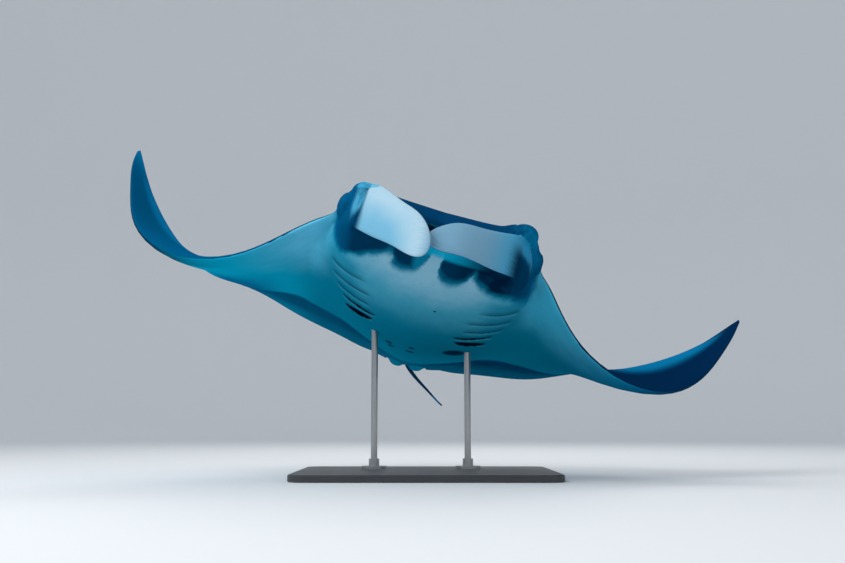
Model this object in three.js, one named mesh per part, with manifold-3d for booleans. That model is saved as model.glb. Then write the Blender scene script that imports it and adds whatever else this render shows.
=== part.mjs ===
// Giant oceanic manta ray, life size, gliding with its wings swept up, on a display stand.
// Millimetres, +Z up, head towards -Y. The origin is the centre of the stand base's underside.
//
// The animal is described flat first, as fractions of its disc width: x sideways from the
// midline, y from the upper jaw back to the tail, z up. The wings are then bent along their
// span, and one group turns and lifts the finished animal onto the stand.
import * as THREE from "three";
import { mergeVertices } from "three/addons/utils/BufferGeometryUtils.js";
import Module from "manifold-3d";

const wasm = await Module();
wasm.setup();

// ---------------------------------------------------------------- driving dimensions

const DISC_WIDTH = 4500; // wing tip to wing tip with the wings laid flat
const GAP = 0.4; // clearance between neighbouring pieces

const BODY_HEIGHT = 1113; // floor to the point below, once the animal is on its stand
const BODY_POINT = new THREE.Vector3(0, 0.2, 0); // flat coordinates, in the middle of the trunk
const BODY_PITCH = THREE.MathUtils.degToRad(21.4); // nose up
const BODY_ROLL = THREE.MathUtils.degToRad(16.1); // its right wing up
const BODY_YAW = THREE.MathUtils.degToRad(1.2);

const BASE_LENGTH = 1500;
const BASE_WIDTH = 1100;
const BASE_THICKNESS = 40;
const BASE_CORNER = 90;
const BASE_EDGE = 6;
const ROD_RADIUS = 20;
const ROD_SIDE = 0.066; // flat position of each rod's top end
const ROD_BACK = 0.25;
const FLANGE_RADIUS = 75;
const FLANGE_HEIGHT = 16;
const COLLAR_RADIUS = 32;
const COLLAR_HEIGHT = 60;
const STAND_BACK = 0.197; // flat position above the middle of the base: the balance point

const EYE_RADIUS = 27;
const EYE_PLACE = [0.1225, 0.045, -0.008]; // flat coordinates of its centre

// Outline of the disc as pairs of points joined by straight chords: the front edge runs from
// the middle of the upper jaw round the head and out along the wing, the rear edge from the
// root of the tail out to the same wing tip.
const FRONT_EDGE = [
  [0.0, 0.014],
  [0.05, 0.008],
  [0.088, 0.0],
  [0.111, 0.013],
  [0.125, 0.045],
  [0.14, 0.079],
  [0.2, 0.098],
  [0.3, 0.1275],
  [0.4, 0.183],
  [0.471, 0.251],
  [0.5, 0.288],
];
const REAR_EDGE = [
  [0.0, 0.438],
  [0.012, 0.438],
  [0.025, 0.4375],
  [0.045, 0.4365],
  [0.075, 0.431],
  [0.12, 0.41],
  [0.2, 0.381],
  [0.3, 0.328],
  [0.39, 0.268],
  [0.434, 0.262],
  [0.5, 0.288],
];
const MOUTH_CORNER = 0.2; // stations: 0 at the midline, 1 at the wing tip
const WING_ROOT = 0.5;
const WING_TIP_ROOT = 0.8;

const MOUTH_DEPTH = 0.085;
const UPPER_LIP_RISE = 0.01;
const LOWER_LIP_DROP = 0.026;
const LOWER_LIP_SETBACK = 0.006;
const SETBACK_POWER = 8; // how soon the setback is lost behind the lip
const JAW_SAG = 0.007; // how far the upper jaw sags between the roots of its two fins
const JAW_SAG_FROM = 0.14; // station where the sag starts to die out, gone at the mouth's corner
const JAW_SAG_BACK = [0.04, 0.14]; // places along the back between which it dies out
const MOUTH_CORNER_DROP = 0.016;
const CORNER_DROP_END = 0.48; // station where the front edge is back in the wing plane
const LIP_FADE = 0.25; // fraction of the chord over which the lips' heights die out
const FRONT_ROUNDING = 0.014;
const SHARP_EDGE_FROM = 0.46; // stations between which the rounded front turns into an edge
const SHARP_EDGE_TO = 0.54;
const LINING_NARROWING = 0.35;
const LINING_TAPER = 0.1;
const JAW_LENGTH = 0.088;
const JAW_HALF_WIDTH = 0.1;
const JAW_TOP = -0.022;
const HEAD_LENGTH = 0.105;
const BODY_REACH = 0.5; // half size of the boxes that divide the body, larger than it is

// The trunk's swell above the wing plane and below it. Each `at` pair gives the places along
// the body between which the value before it is gained or lost. A low flatness gives a flat
// swell with steep sides, a high one a rounded ridge.
const BACK_SWELL = {
  height: 0.007, growth: 0.034, growthAt: [0, 0.18],
  loss: 0.88, lossAt: [0.2, 0.47],
  halfWidth: 0.126, widening: 0.052, wideningAt: [0.06, 0.2],
  narrowing: 0.13, narrowingAt: [0.24, 0.47],
  flatness: 0.3, rounding: 1, roundingAt: [0.02, 0.15],
};
const BELLY_SWELL = {
  height: 0.048, growth: 0.005, growthAt: [0, 0.12],
  loss: 0.88, lossAt: [0.16, 0.47],
  halfWidth: 0.126, widening: 0.032, wideningAt: [0.06, 0.16],
  narrowing: 0.11, narrowingAt: [0.22, 0.47],
  flatness: 0.3, rounding: 0.75, roundingAt: [0.04, 0.2],
};

const WING_HALF_THICKNESS = 0.018;
const WING_TIP_HALF_THICKNESS = 0.0012;
const EDGE_HALF_THICKNESS = 0.0006;
const THICKNESS_TAPER = 1.2; // power by which a wing thins towards its tip
const FULL_CHORD = 0.2; // a shorter chord makes a thinner wing, by the power below
const SHORT_CHORD_THINNING = 0.6;
const EDGE_FULL_CHORD = 0.02;
// The square root's and the first four powers' parts in the four-digit aerofoil section.
const AEROFOIL = [2.969, -1.26, -3.516, 2.843, -1.036];

// How each wing bends: a droop at its root, then a long upward sweep, with the front edge
// turned down and the tip swept forward. Angles in radians, distances along the flat wing.
const BEND_START = 0.09;
const DROOP_SPAN = 0.09;
const TWIST_AXIS = 0.22; // where the twist's axis leaves the midline, and how it sweeps back
const TWIST_AXIS_SWEEP = 0.16;
const SLANT_AT = [0.1, 0.35]; // flat distances out between which each turn comes in
const TWIST_AT = [0.1, 0.3];
const TIP_TWIST_AT = [0.25, 0.5];
const FORWARD_AT = [0.12, 0.5];
const RIGHT_WING = {
  side: -1, droop: -0.308, lift: 1.239, liftStart: 0.223, liftSpan: 0.195,
  slant: -0.5, twist: 0.37, tipTwist: -0.107, forward: 0.081,
};
const LEFT_WING = {
  side: 1, droop: -0.513, lift: 1.34, liftStart: 0.08, liftSpan: 0.353,
  slant: -0.5, twist: 0.528, tipTwist: -0.18, forward: 0.039,
};
const WINGS = [RIGHT_WING, LEFT_WING];

// Mesh density.
const MOUTH_ROWS = 8;
const HEAD_ROWS = 8;
const WING_ROWS = 14;
const TIP_ROWS = 9;
const TIP_CROWDING = 1.3; // rows close up towards the tip by this power
const CHORD_POINTS = 14;
const EDGE_SHARE = 0.75; // share of the points spaced to both edges, the rest to the front
const FRONT_CROWDING = 1.6;
const LINING_POINTS = 8;
const BALL_SEGMENTS = [16, 9];
const LOBE_SEGMENTS = [14, 9];
const ROUND_SEGMENTS = 20;
const BEND_STEPS = 448;
const BEND_REACH = 0.56;

// ---------------------------------------------------------------- materials

function finish(color, roughness, metalness = 0) {
  return new THREE.MeshStandardMaterial({ color, roughness, metalness });
}

const FINISHES = {
  darkSkin: () => finish(0x1c2630, 0.55),
  paleSkin: () => finish(0xd9e0e2, 0.5),
  finSkin: () => finish(0xe9ecee, 0.5),
  eye: () => finish(0x0a0d10, 0.1),
  standBase: () => finish(0x2b2d30, 0.45, 0.3),
  standRod: () => finish(0xb4b8bc, 0.3, 1.0),
};

const manta = new THREE.Group();
const group = new THREE.Group();

function addMesh(parent, name, geometry, material) {
  const mesh = new THREE.Mesh(geometry, material());
  mesh.name = name;
  parent.add(mesh);
  return mesh;
}

// ---------------------------------------------------------------- solids

function meld(geometry) {
  const bare = new THREE.BufferGeometry();
  bare.setAttribute("position", geometry.getAttribute("position").clone());
  if (geometry.index) bare.setIndex([...geometry.index.array]);
  const merged = mergeVertices(bare, 1e-3);
  const index = merged.index.array;
  const kept = [];
  for (let i = 0; i < index.length; i += 3) {
    const [a, b, c] = [index[i], index[i + 1], index[i + 2]];
    if (a !== b && b !== c && c !== a) kept.push(a, b, c);
  }
  merged.setIndex(kept);
  return merged;
}

function toSolid(geometry) {
  const merged = meld(geometry);
  const mesh = new wasm.Mesh({
    numProp: 3,
    vertProperties: new Float32Array(merged.getAttribute("position").array),
    triVerts: new Uint32Array(merged.index.array),
  });
  return new wasm.Manifold(mesh);
}

function toGeometry(solid) {
  const mesh = solid.getMesh();
  const geometry = new THREE.BufferGeometry();
  geometry.setAttribute("position", new THREE.BufferAttribute(mesh.vertProperties, 3));
  geometry.setIndex(new THREE.BufferAttribute(mesh.triVerts, 1));
  geometry.computeVertexNormals();
  return geometry;
}

// A closed geometry turned the right way round, so that its faces point out.
function outward(geometry) {
  const merged = meld(geometry);
  const index = merged.index.array;
  const position = merged.getAttribute("position");
  const a = new THREE.Vector3();
  const b = new THREE.Vector3();
  const c = new THREE.Vector3();
  let volume = 0;
  for (let i = 0; i < index.length; i += 3) {
    a.fromBufferAttribute(position, index[i]);
    b.fromBufferAttribute(position, index[i + 1]);
    c.fromBufferAttribute(position, index[i + 2]);
    volume += a.dot(b.cross(c));
  }
  if (volume < 0) merged.setIndex([...index].reverse());
  return merged;
}

// Flat coordinates to the animal's own frame without any bend, for what hangs off the body.
function toBodyFrame(flat) {
  return flat.clone().sub(BODY_POINT).multiplyScalar(DISC_WIDTH);
}

// The same closed shape grown outwards by a distance, for cutting its neighbours with.
function grow(geometry, distance) {
  const grown = meld(geometry);
  grown.computeVertexNormals();
  const position = grown.getAttribute("position");
  const normal = grown.getAttribute("normal");
  for (let i = 0; i < position.count; i += 1) {
    position.setXYZ(
      i,
      position.getX(i) + distance * normal.getX(i),
      position.getY(i) + distance * normal.getY(i),
      position.getZ(i) + distance * normal.getZ(i),
    );
  }
  return grown;
}

// A box between two corners given in flat coordinates, in the animal's own frame.
function flatBox(low, high) {
  const from = toBodyFrame(new THREE.Vector3(...low));
  const to = toBodyFrame(new THREE.Vector3(...high));
  const size = to.clone().sub(from);
  const box = new THREE.BoxGeometry(size.x, size.y, size.z);
  box.translate((from.x + to.x) / 2, (from.y + to.y) / 2, (from.z + to.z) / 2);
  return toSolid(box);
}

// A closed skin over a row of rings. Rings that close to a line or a point need no lid; the
// first `lidCount` points of the other end rings are laced across, front pair to rear pair.
function skinOver(rings, lidCount) {
  const count = rings[0].length;
  const points = rings.flat();
  const triangles = [];
  const quad = (a, b, c, d) => triangles.push(a, b, c, a, c, d);
  for (let row = 0; row < rings.length - 1; row += 1) {
    for (let i = 0; i < count; i += 1) {
      const next = (i + 1) % count;
      quad(row * count + i, row * count + next, (row + 1) * count + next, (row + 1) * count + i);
    }
  }
  const last = (rings.length - 1) * count;
  for (let i = 0; i < lidCount / 2; i += 1) {
    const across = (lidCount - i) % lidCount;
    const nextAcross = lidCount - i - 1;
    quad(i, across, nextAcross, i + 1);
    quad(last + i, last + i + 1, last + nextAcross, last + across);
  }
  const geometry = new THREE.BufferGeometry();
  geometry.setFromPoints(points);
  geometry.setIndex(triangles);
  return geometry;
}

// ---------------------------------------------------------------- the flat animal

const { smoothstep, smootherstep, clamp, lerp } = THREE.MathUtils;

function edgeCurve(points) {
  const corners = points.map(([x, y]) => new THREE.Vector3(x, y, 0));
  return new THREE.CatmullRomCurve3(corners, false, "catmullrom", 0.5);
}

const frontEdge = edgeCurve(FRONT_EDGE);
const rearEdge = edgeCurve(REAR_EDGE);

// Quarter-circle rise from 0 to 1 over a length.
function roundOff(distance, length) {
  const along = clamp(distance / length, 0, 1);
  return Math.sqrt(1 - (1 - along) ** 2);
}

// How far the back or the belly stands out of the wing plane.
function swellHeight(swell, x, y) {
  const grown = swell.height + swell.growth * smoothstep(y, ...swell.growthAt);
  const height = grown * (1 - swell.loss * smoothstep(y, ...swell.lossAt));
  const widened = swell.halfWidth + swell.widening * smoothstep(y, ...swell.wideningAt);
  const halfWidth = widened - swell.narrowing * smoothstep(y, ...swell.narrowingAt);
  const flatness = swell.flatness + swell.rounding * smoothstep(y, ...swell.roundingAt);
  return height * Math.max(1 - (x / halfWidth) ** 2, 0) ** flatness;
}

// Thickness of a rounded aerofoil, 1 at its thickest, with c from 0 in front to 1 behind.
function aerofoil(c) {
  const [root, ...powers] = AEROFOIL;
  return powers.reduce((sum, part, i) => sum + part * c ** (i + 1), root * Math.sqrt(c));
}

function wingHalfThickness(x, c, chord) {
  const taper = Math.max(1 - 2 * x, 0) ** THICKNESS_TAPER;
  const body = (WING_HALF_THICKNESS * taper + WING_TIP_HALF_THICKNESS) * aerofoil(c);
  const edge = EDGE_HALF_THICKNESS * Math.cbrt(Math.max(4 * c * (1 - c), 0));
  const thinning = Math.min(chord / FULL_CHORD, 1) ** SHORT_CHORD_THINNING;
  return body * thinning + edge * Math.min(chord / EDGE_FULL_CHORD, 1);
}

// How far the mouth is open at a station: 1 at the midline, 0 from the corners outwards.
function mouthOpen(station) {
  return Math.sqrt(Math.max(1 - (station / MOUTH_CORNER) ** 4, 0));
}

function jawSag(station) {
  return JAW_SAG * (1 - smoothstep(station, JAW_SAG_FROM, MOUTH_CORNER));
}

function lipHeights(station) {
  const middle = -MOUTH_CORNER_DROP * (1 - smoothstep(station, MOUTH_CORNER, CORNER_DROP_END));
  const open = mouthOpen(station);
  const upper = middle + UPPER_LIP_RISE * open - jawSag(station);
  return { upper, lower: middle - LOWER_LIP_DROP * open };
}

// A point of the back (up = true) or the belly, at a station and a fraction c of its chord.
function surfacePoint(station, c, up) {
  const front = frontEdge.getPoint(station);
  const rear = rearEdge.getPoint(station);
  const chord = front.distanceTo(rear);
  const { upper, lower } = lipHeights(station);
  const x = lerp(front.x, rear.x, c);
  let y = lerp(front.y, rear.y, c);
  if (!up) y += LOWER_LIP_SETBACK * mouthOpen(station) * (1 - c) ** SETBACK_POWER;
  const lip = (up ? upper : lower) * (1 - smoothstep(c, 0, LIP_FADE));
  const sharp = smoothstep(station, SHARP_EDGE_FROM, SHARP_EDGE_TO);
  const rise = lerp(roundOff(c * chord, FRONT_ROUNDING), 1, sharp);
  const sag = jawSag(station) * (1 - smoothstep(y, ...JAW_SAG_BACK));
  const swell = up ? swellHeight(BACK_SWELL, x, y) - sag : -swellHeight(BELLY_SWELL, x, y);
  const wing = wingHalfThickness(x, c, chord) * (up ? 1 : -1);
  const z = c === 0 ? lip : lip + (swell + wing - lip) * rise;
  return new THREE.Vector3(x, y, z);
}

// A point of the mouth's lining, from the lower lip (t = 0) round the back to the upper (t = 1).
function liningPoint(station, t) {
  const front = frontEdge.getPoint(station);
  const open = mouthOpen(station);
  const { upper, lower } = lipHeights(station);
  const inward = Math.sin(Math.PI * t);
  const depth = MOUTH_DEPTH * open * inward;
  const lipRounding = Math.max(LOWER_LIP_SETBACK * open, 1e-9);
  const narrowing = 1 - LINING_NARROWING * roundOff(depth, lipRounding);
  const halfGap = ((upper - lower) / 2) * narrowing * Math.sqrt(Math.max(1 - inward ** 4, 0));
  const setback = LOWER_LIP_SETBACK * open * (1 - t) * (1 - inward);
  return new THREE.Vector3(
    front.x * (1 - LINING_TAPER * inward * open),
    front.y + depth + setback,
    (upper + lower) / 2 + Math.sign(t - 0.5) * halfGap,
  );
}

// ---------------------------------------------------------------- bending the wings

// Running integral of the wing's slope, so that the wing keeps its length as it bends.
function bendTable(wing) {
  const step = BEND_REACH / BEND_STEPS;
  const table = [{ angle: 0, out: 0, up: 0 }];
  for (let i = 1; i <= BEND_STEPS; i += 1) {
    const along = i * step;
    const droop = wing.droop * smootherstep(along, BEND_START, BEND_START + DROOP_SPAN);
    const lift = wing.lift * smootherstep(along, wing.liftStart, wing.liftStart + wing.liftSpan);
    const before = table[i - 1];
    const angle = droop + lift;
    table.push({
      angle,
      out: before.out + (step * (Math.cos(angle) + Math.cos(before.angle))) / 2,
      up: before.up + (step * (Math.sin(angle) + Math.sin(before.angle))) / 2,
    });
  }
  return table;
}

function readTable(table, along) {
  const position = clamp(along / BEND_REACH, 0, 1) * BEND_STEPS;
  const i = Math.min(Math.floor(position), BEND_STEPS - 1);
  const blend = position - i;
  return {
    angle: lerp(table[i].angle, table[i + 1].angle, blend),
    out: lerp(table[i].out, table[i + 1].out, blend),
    up: lerp(table[i].up, table[i + 1].up, blend),
  };
}

// Takes a flat point of one side to its bent place, in millimetres in the animal's own frame.
function makeBend(wing) {
  const table = bendTable(wing);
  return (flat) => {
    const { x, y, z } = flat;
    const axis = TWIST_AXIS + TWIST_AXIS_SWEEP * x;
    const behind = y - axis;
    const slant = wing.slant * behind * smootherstep(x, ...SLANT_AT);
    const along = clamp(x + slant, 0, BEND_REACH);
    const turn = wing.twist * smootherstep(x, ...TWIST_AT)
      + wing.tipTwist * smootherstep(x, ...TIP_TWIST_AT);
    const height = z * Math.cos(turn) + behind * Math.sin(turn);
    const { angle, out, up } = readTable(table, along);
    const beyond = x - along;
    const bent = new THREE.Vector3(
      wing.side * (out + beyond * Math.cos(angle) - height * Math.sin(angle)),
      axis + behind * Math.cos(turn) - z * Math.sin(turn)
        - wing.forward * smootherstep(x, ...FORWARD_AT),
      up + beyond * Math.sin(angle) + height * Math.cos(angle),
    );
    return bent.sub(BODY_POINT).multiplyScalar(DISC_WIDTH);
  };
}

const bendRight = makeBend(RIGHT_WING);
const bendLeft = makeBend(LEFT_WING);

// Places a flat point of either side: negative x is the animal's right.
function place(flat) {
  const folded = new THREE.Vector3(Math.abs(flat.x), flat.y, flat.z);
  return flat.x < 0 ? bendRight(folded) : bendLeft(folded);
}

// ---------------------------------------------------------------- body and wings

const chordFractions = Array.from({ length: CHORD_POINTS }, (_, i) => {
  const t = i / (CHORD_POINTS - 1);
  const bothEdges = 0.5 - 0.5 * Math.cos(Math.PI * t);
  return EDGE_SHARE * bothEdges + (1 - EDGE_SHARE) * t ** FRONT_CROWDING;
});

// One closed ring round the body or a wing: along the back, round the rear edge, along the
// belly and, with `withMouth`, through the mouth. The side is -1 for the right, 1 for the left.
function ring(station, side, withMouth) {
  const bend = side < 0 ? bendRight : bendLeft;
  const back = chordFractions.map((c) => surfacePoint(station, c, true));
  const belly = chordFractions.map((c) => surfacePoint(station, c, false)).reverse().slice(1);
  const points = [...back, ...belly];
  if (!withMouth) return points.slice(0, -1).map(bend);
  for (let i = 1; i < LINING_POINTS; i += 1) {
    points.push(liningPoint(station, i / LINING_POINTS));
  }
  return points.map(bend);
}

const LID_POINTS = 2 * CHORD_POINTS - 2;

function bodyGeometry() {
  const stations = [];
  for (let i = 0; i <= MOUTH_ROWS; i += 1) {
    stations.push(MOUTH_CORNER * Math.sin(((Math.PI / 2) * i) / MOUTH_ROWS));
  }
  for (let i = 1; i <= HEAD_ROWS; i += 1) {
    stations.push(lerp(MOUTH_CORNER, WING_ROOT, i / HEAD_ROWS));
  }
  const right = stations.map((station) => ring(station, -1, true)).reverse();
  const left = stations.slice(1).map((station) => ring(station, 1, true));
  return skinOver([...right, ...left], LID_POINTS);
}

// The stretch of wing between two stations, a hair short of its inner neighbour.
function wingGeometry(side, from, to, rows) {
  const inset = (1.5 * GAP) / DISC_WIDTH;
  const rings = [];
  for (let i = 0; i <= rows; i += 1) {
    const t = 1 - (1 - i / rows) ** TIP_CROWDING;
    rings.push(ring(lerp(from + inset, to, t), side, false));
  }
  if (side < 0) rings.reverse();
  return skinOver(rings, LID_POINTS);
}

const body = outward(bodyGeometry());
const bodySolid = toSolid(body);
const bodyCutter = toSolid(grow(body, GAP));

function addBody() {
  const sliver = GAP / DISC_WIDTH;
  const jawBox = (extra) =>
    flatBox(
      [-JAW_HALF_WIDTH - extra, -BODY_REACH, -BODY_REACH],
      [JAW_HALF_WIDTH + extra, JAW_LENGTH + extra, JAW_TOP + extra],
    );
  const headBox = flatBox(
    [-BODY_REACH, -BODY_REACH, -BODY_REACH],
    [BODY_REACH, HEAD_LENGTH, BODY_REACH],
  );
  const trunkBox = flatBox(
    [-BODY_REACH, HEAD_LENGTH + sliver, -BODY_REACH],
    [BODY_REACH, BODY_REACH, BODY_REACH],
  );
  let head = bodySolid.intersect(headBox).subtract(jawBox(sliver));
  for (const side of [-1, 1]) {
    head = head.subtract(toSolid(eyeball(side, EYE_RADIUS + GAP)));
  }
  addMesh(manta, "head", toGeometry(head), FINISHES.darkSkin);
  addMesh(manta, "lower_jaw", toGeometry(bodySolid.intersect(jawBox(0))), FINISHES.paleSkin);
  addMesh(manta, "trunk", toGeometry(bodySolid.intersect(trunkBox)), FINISHES.paleSkin);
}

function addWings() {
  for (const { side } of WINGS) {
    const name = side < 0 ? "right" : "left";
    const inner = wingGeometry(side, WING_ROOT, WING_TIP_ROOT, WING_ROWS);
    const tip = wingGeometry(side, WING_TIP_ROOT, 1, TIP_ROWS);
    addMesh(manta, `pectoral_fin_${name}`, outward(inner), FINISHES.paleSkin);
    addMesh(manta, `pectoral_tip_${name}`, outward(tip), FINISHES.darkSkin);
  }
}

// ---------------------------------------------------------------- eyes

function eyeball(side, radius) {
  const [x, y, z] = EYE_PLACE;
  const centre = place(new THREE.Vector3(side * x, y, z));
  const ball = new THREE.SphereGeometry(radius, ...BALL_SEGMENTS);
  ball.rotateZ(-side * Math.PI / 2);
  ball.translate(centre.x, centre.y, centre.z);
  return ball;
}

function addEyes() {
  addMesh(manta, "eye_right", eyeball(-1, EYE_RADIUS), FINISHES.eye);
  addMesh(manta, "eye_left", eyeball(1, EYE_RADIUS), FINISHES.eye);
}

// ---------------------------------------------------------------- cephalic fins

const CEPHALIC_ROWS = 12;
const CEPHALIC_RING = 16;
const CEPHALIC_CROWDING = 1.5; // rings close up towards the tip by this power
const CEPHALIC_HALF_BREADTH = 0.0275;
const CEPHALIC_HALF_THICKNESS = 0.006;
const CEPHALIC_NARROWING_AT = [0.25, 0.7]; // where the fin narrows towards its tip
const CEPHALIC_ROOT_SWELL = 0.9; // extra thickness at the root, gone by the place below
const CEPHALIC_SWELL_END = 0.4;
const CEPHALIC_TIP_FROM = 0.62; // where the outline starts to round off
const CEPHALIC_TIP_THINNING = 0.7;
// Middle line of each fin, from inside the head's front corner round in front of the mouth,
// the way its breadth runs, its breadths near the root and near the tip as shares of the one
// above, and how squarely its tip rounds off. The right fin's tip lies in front of the left's.
const CEPHALIC_RIGHT = {
  side: -1,
  line: [
    [0.101, 0.035, -0.015],
    [0.091, 0.0, -0.028],
    [0.06, -0.035, -0.0584],
    [0.0329, -0.062, -0.0835],
    [0.0066, -0.078, -0.1155],
  ],
  across: [0, 0, 1],
  breadths: [1.051, 0.874],
  squareness: 2.02,
};
const CEPHALIC_LEFT = {
  side: 1,
  line: [
    [0.105, 0.035, -0.027],
    [0.095, 0.0, -0.04],
    [0.06, -0.03, -0.0573],
    [0.0264, -0.052, -0.0699],
    [-0.0094, -0.063, -0.0899],
  ],
  across: [0, 0.27, 0.96],
  breadths: [1.084, 0.896],
  squareness: 2.32,
};

// Elliptical rings along a curve, laid out in the animal's frame. `sizes` gives the half
// breadth and half thickness at t, and `across` is the direction of the breadth.
function loft(curve, rows, count, sizes, across) {
  const rings = [];
  for (let row = 0; row <= rows; row += 1) {
    const t = row / rows;
    const along = 1 - (1 - t) ** CEPHALIC_CROWDING;
    const centre = curve.getPoint(along);
    const tangent = curve.getTangent(along);
    const normal = new THREE.Vector3().crossVectors(tangent, across).normalize();
    const breadthWay = new THREE.Vector3().crossVectors(normal, tangent).normalize();
    const { breadth, thickness } = sizes(along);
    const points = [];
    for (let i = 0; i < count; i += 1) {
      const angle = (2 * Math.PI * i) / count;
      points.push(
        centre
          .clone()
          .addScaledVector(breadthWay, breadth * Math.cos(angle))
          .addScaledVector(normal, thickness * Math.sin(angle)),
      );
    }
    rings.push(points);
  }
  return rings;
}

function cephalicGeometry({ side, line, across, breadths, squareness }) {
  const corners = line.map(([x, y, z]) => new THREE.Vector3(side * x, y, z));
  const curve = new THREE.CatmullRomCurve3(corners, false, "centripetal");
  const sizes = (t) => {
    const tipWay = clamp((t - CEPHALIC_TIP_FROM) / (1 - CEPHALIC_TIP_FROM), 0, 1);
    const tipRound = Math.sqrt(Math.max(1 - tipWay ** squareness, 0));
    const spread = lerp(...breadths, smoothstep(t, ...CEPHALIC_NARROWING_AT));
    const root = 1 + CEPHALIC_ROOT_SWELL * (1 - smoothstep(t, 0, CEPHALIC_SWELL_END));
    return {
      breadth: CEPHALIC_HALF_BREADTH * tipRound * spread,
      thickness: CEPHALIC_HALF_THICKNESS * root * tipRound ** CEPHALIC_TIP_THINNING,
    };
  };
  const breadthWay = new THREE.Vector3(...across);
  const rings = loft(curve, CEPHALIC_ROWS, CEPHALIC_RING, sizes, breadthWay);
  const placed = rings.map((points) => points.map(toBodyFrame));
  return skinOver(placed, CEPHALIC_RING);
}

function addCephalicFins() {
  const right = outward(cephalicGeometry(CEPHALIC_RIGHT));
  const left = outward(cephalicGeometry(CEPHALIC_LEFT));
  const trimmedRight = toSolid(right).subtract(bodyCutter);
  const trimmedLeft = toSolid(left).subtract(bodyCutter).subtract(toSolid(grow(right, GAP)));
  addMesh(manta, "cephalic_fin_right", toGeometry(trimmedRight), FINISHES.finSkin);
  addMesh(manta, "cephalic_fin_left", toGeometry(trimmedLeft), FINISHES.finSkin);
}

// ---------------------------------------------------------------- dorsal, pelvic fins, tail

const DORSAL_LENGTH = 0.055;
const DORSAL_HEIGHT = 0.026;
const DORSAL_BACK = 0.4;
const DORSAL_FOOT = 0.003;
const DORSAL_THICKNESS = 0.004;
const DORSAL_TIP = 0.7; // the tip's place, of the half length behind the middle
const DORSAL_OVERHANG = 1.2; // how far back its rear edge bulges, and at what height
const DORSAL_BULGE = 0.8;
const DORSAL_CURVE_SEGMENTS = 8;

function addDorsalFin() {
  const half = DORSAL_LENGTH / 2;
  const shape = new THREE.Shape();
  shape.moveTo(-half, 0);
  shape.quadraticCurveTo(0, DORSAL_HEIGHT, half * DORSAL_TIP, DORSAL_HEIGHT);
  shape.quadraticCurveTo(half * DORSAL_OVERHANG, DORSAL_HEIGHT * DORSAL_BULGE, half, 0);
  const plate = new THREE.ExtrudeGeometry(shape, {
    depth: DORSAL_THICKNESS, curveSegments: DORSAL_CURVE_SEGMENTS, bevelEnabled: false,
  });
  plate.translate(0, 0, -DORSAL_THICKNESS / 2);
  plate.rotateX(Math.PI / 2);
  plate.rotateZ(Math.PI / 2);
  plate.translate(0, DORSAL_BACK - BODY_POINT.y, DORSAL_FOOT);
  plate.scale(DISC_WIDTH, DISC_WIDTH, DISC_WIDTH);
  const fin = toSolid(outward(plate)).subtract(bodyCutter);
  addMesh(manta, "dorsal_fin", toGeometry(fin), FINISHES.darkSkin);
}

const PELVIC_SIDE = 0.0148;
const PELVIC_BACK = 0.42;
const PELVIC_DROP = -0.0055;
const PELVIC_RADII = [0.0145, 0.03, 0.005];

function addPelvicFins(tail) {
  for (const side of [-1, 1]) {
    const lobe = new THREE.SphereGeometry(1, ...LOBE_SEGMENTS);
    lobe.scale(...PELVIC_RADII.map((radius) => radius * DISC_WIDTH));
    const centre = toBodyFrame(new THREE.Vector3(side * PELVIC_SIDE, PELVIC_BACK, PELVIC_DROP));
    lobe.translate(centre.x, centre.y, centre.z);
    const fin = toSolid(lobe).subtract(bodyCutter).subtract(tail);
    const name = side < 0 ? "pelvic_fin_right" : "pelvic_fin_left";
    addMesh(manta, name, toGeometry(fin), FINISHES.paleSkin);
  }
}

const TAIL_ROOT_RADIUS = 0.004;
const TAIL_END_RADIUS = 0.0014;
const TAIL_TAPER = 0.7; // power of the taper: the tail thins fastest near its root
const TAIL_ROUNDING_FROM = 0.97;
const TAIL_ROWS = 12;
const TAIL_RING = 12;
const TAIL_LINE = [
  [0.0, 0.42, 0.0],
  [0.003, 0.455, 0.002],
  [0.02, 0.535, 0.022],
  [0.046, 0.63, 0.047],
  [0.071, 0.73, 0.075],
  [0.083, 0.79, 0.095],
];
const TAIL_CUTS = [0, 0.36, 0.68, 1];

const tailCorners = TAIL_LINE.map(([x, y, z]) => toBodyFrame(new THREE.Vector3(x, y, z)));
const tailCurve = new THREE.CatmullRomCurve3(tailCorners, false, "centripetal");

// The tail between two fractions of its length, grown outwards by a distance.
function tailStretch(from, to, growth) {
  const across = new THREE.Vector3(1, 0, 0);
  const rings = [];
  for (let row = 0; row <= TAIL_ROWS; row += 1) {
    const along = lerp(from, to, row / TAIL_ROWS);
    const centre = tailCurve.getPointAt(along);
    const tangent = tailCurve.getTangentAt(along);
    const up = new THREE.Vector3().crossVectors(across, tangent).normalize();
    const sideways = new THREE.Vector3().crossVectors(tangent, up).normalize();
    const taper = lerp(TAIL_ROOT_RADIUS, TAIL_END_RADIUS, smoothstep(along, 0, 1) ** TAIL_TAPER);
    const endWay = clamp((along - TAIL_ROUNDING_FROM) / (1 - TAIL_ROUNDING_FROM), 0, 1);
    const end = Math.sqrt(Math.max(1 - endWay ** 2, 0));
    const radius = taper * DISC_WIDTH * end + growth;
    const points = [];
    for (let i = 0; i < TAIL_RING; i += 1) {
      const angle = (2 * Math.PI * i) / TAIL_RING;
      points.push(
        centre
          .clone()
          .addScaledVector(sideways, radius * Math.cos(angle))
          .addScaledVector(up, radius * Math.sin(angle)),
      );
    }
    rings.push(points);
  }
  return outward(skinOver(rings, TAIL_RING));
}

function addTail() {
  const names = ["tail_root", "tail_middle", "tail_end"];
  const clearance = GAP / tailCurve.getLength();
  names.forEach((name, i) => {
    const from = TAIL_CUTS[i] + (i > 0 ? clearance : 0);
    const stretch = tailStretch(from, TAIL_CUTS[i + 1], 0);
    const trimmed = toSolid(stretch).subtract(bodyCutter);
    addMesh(manta, name, toGeometry(trimmed), FINISHES.darkSkin);
  });
}

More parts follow.
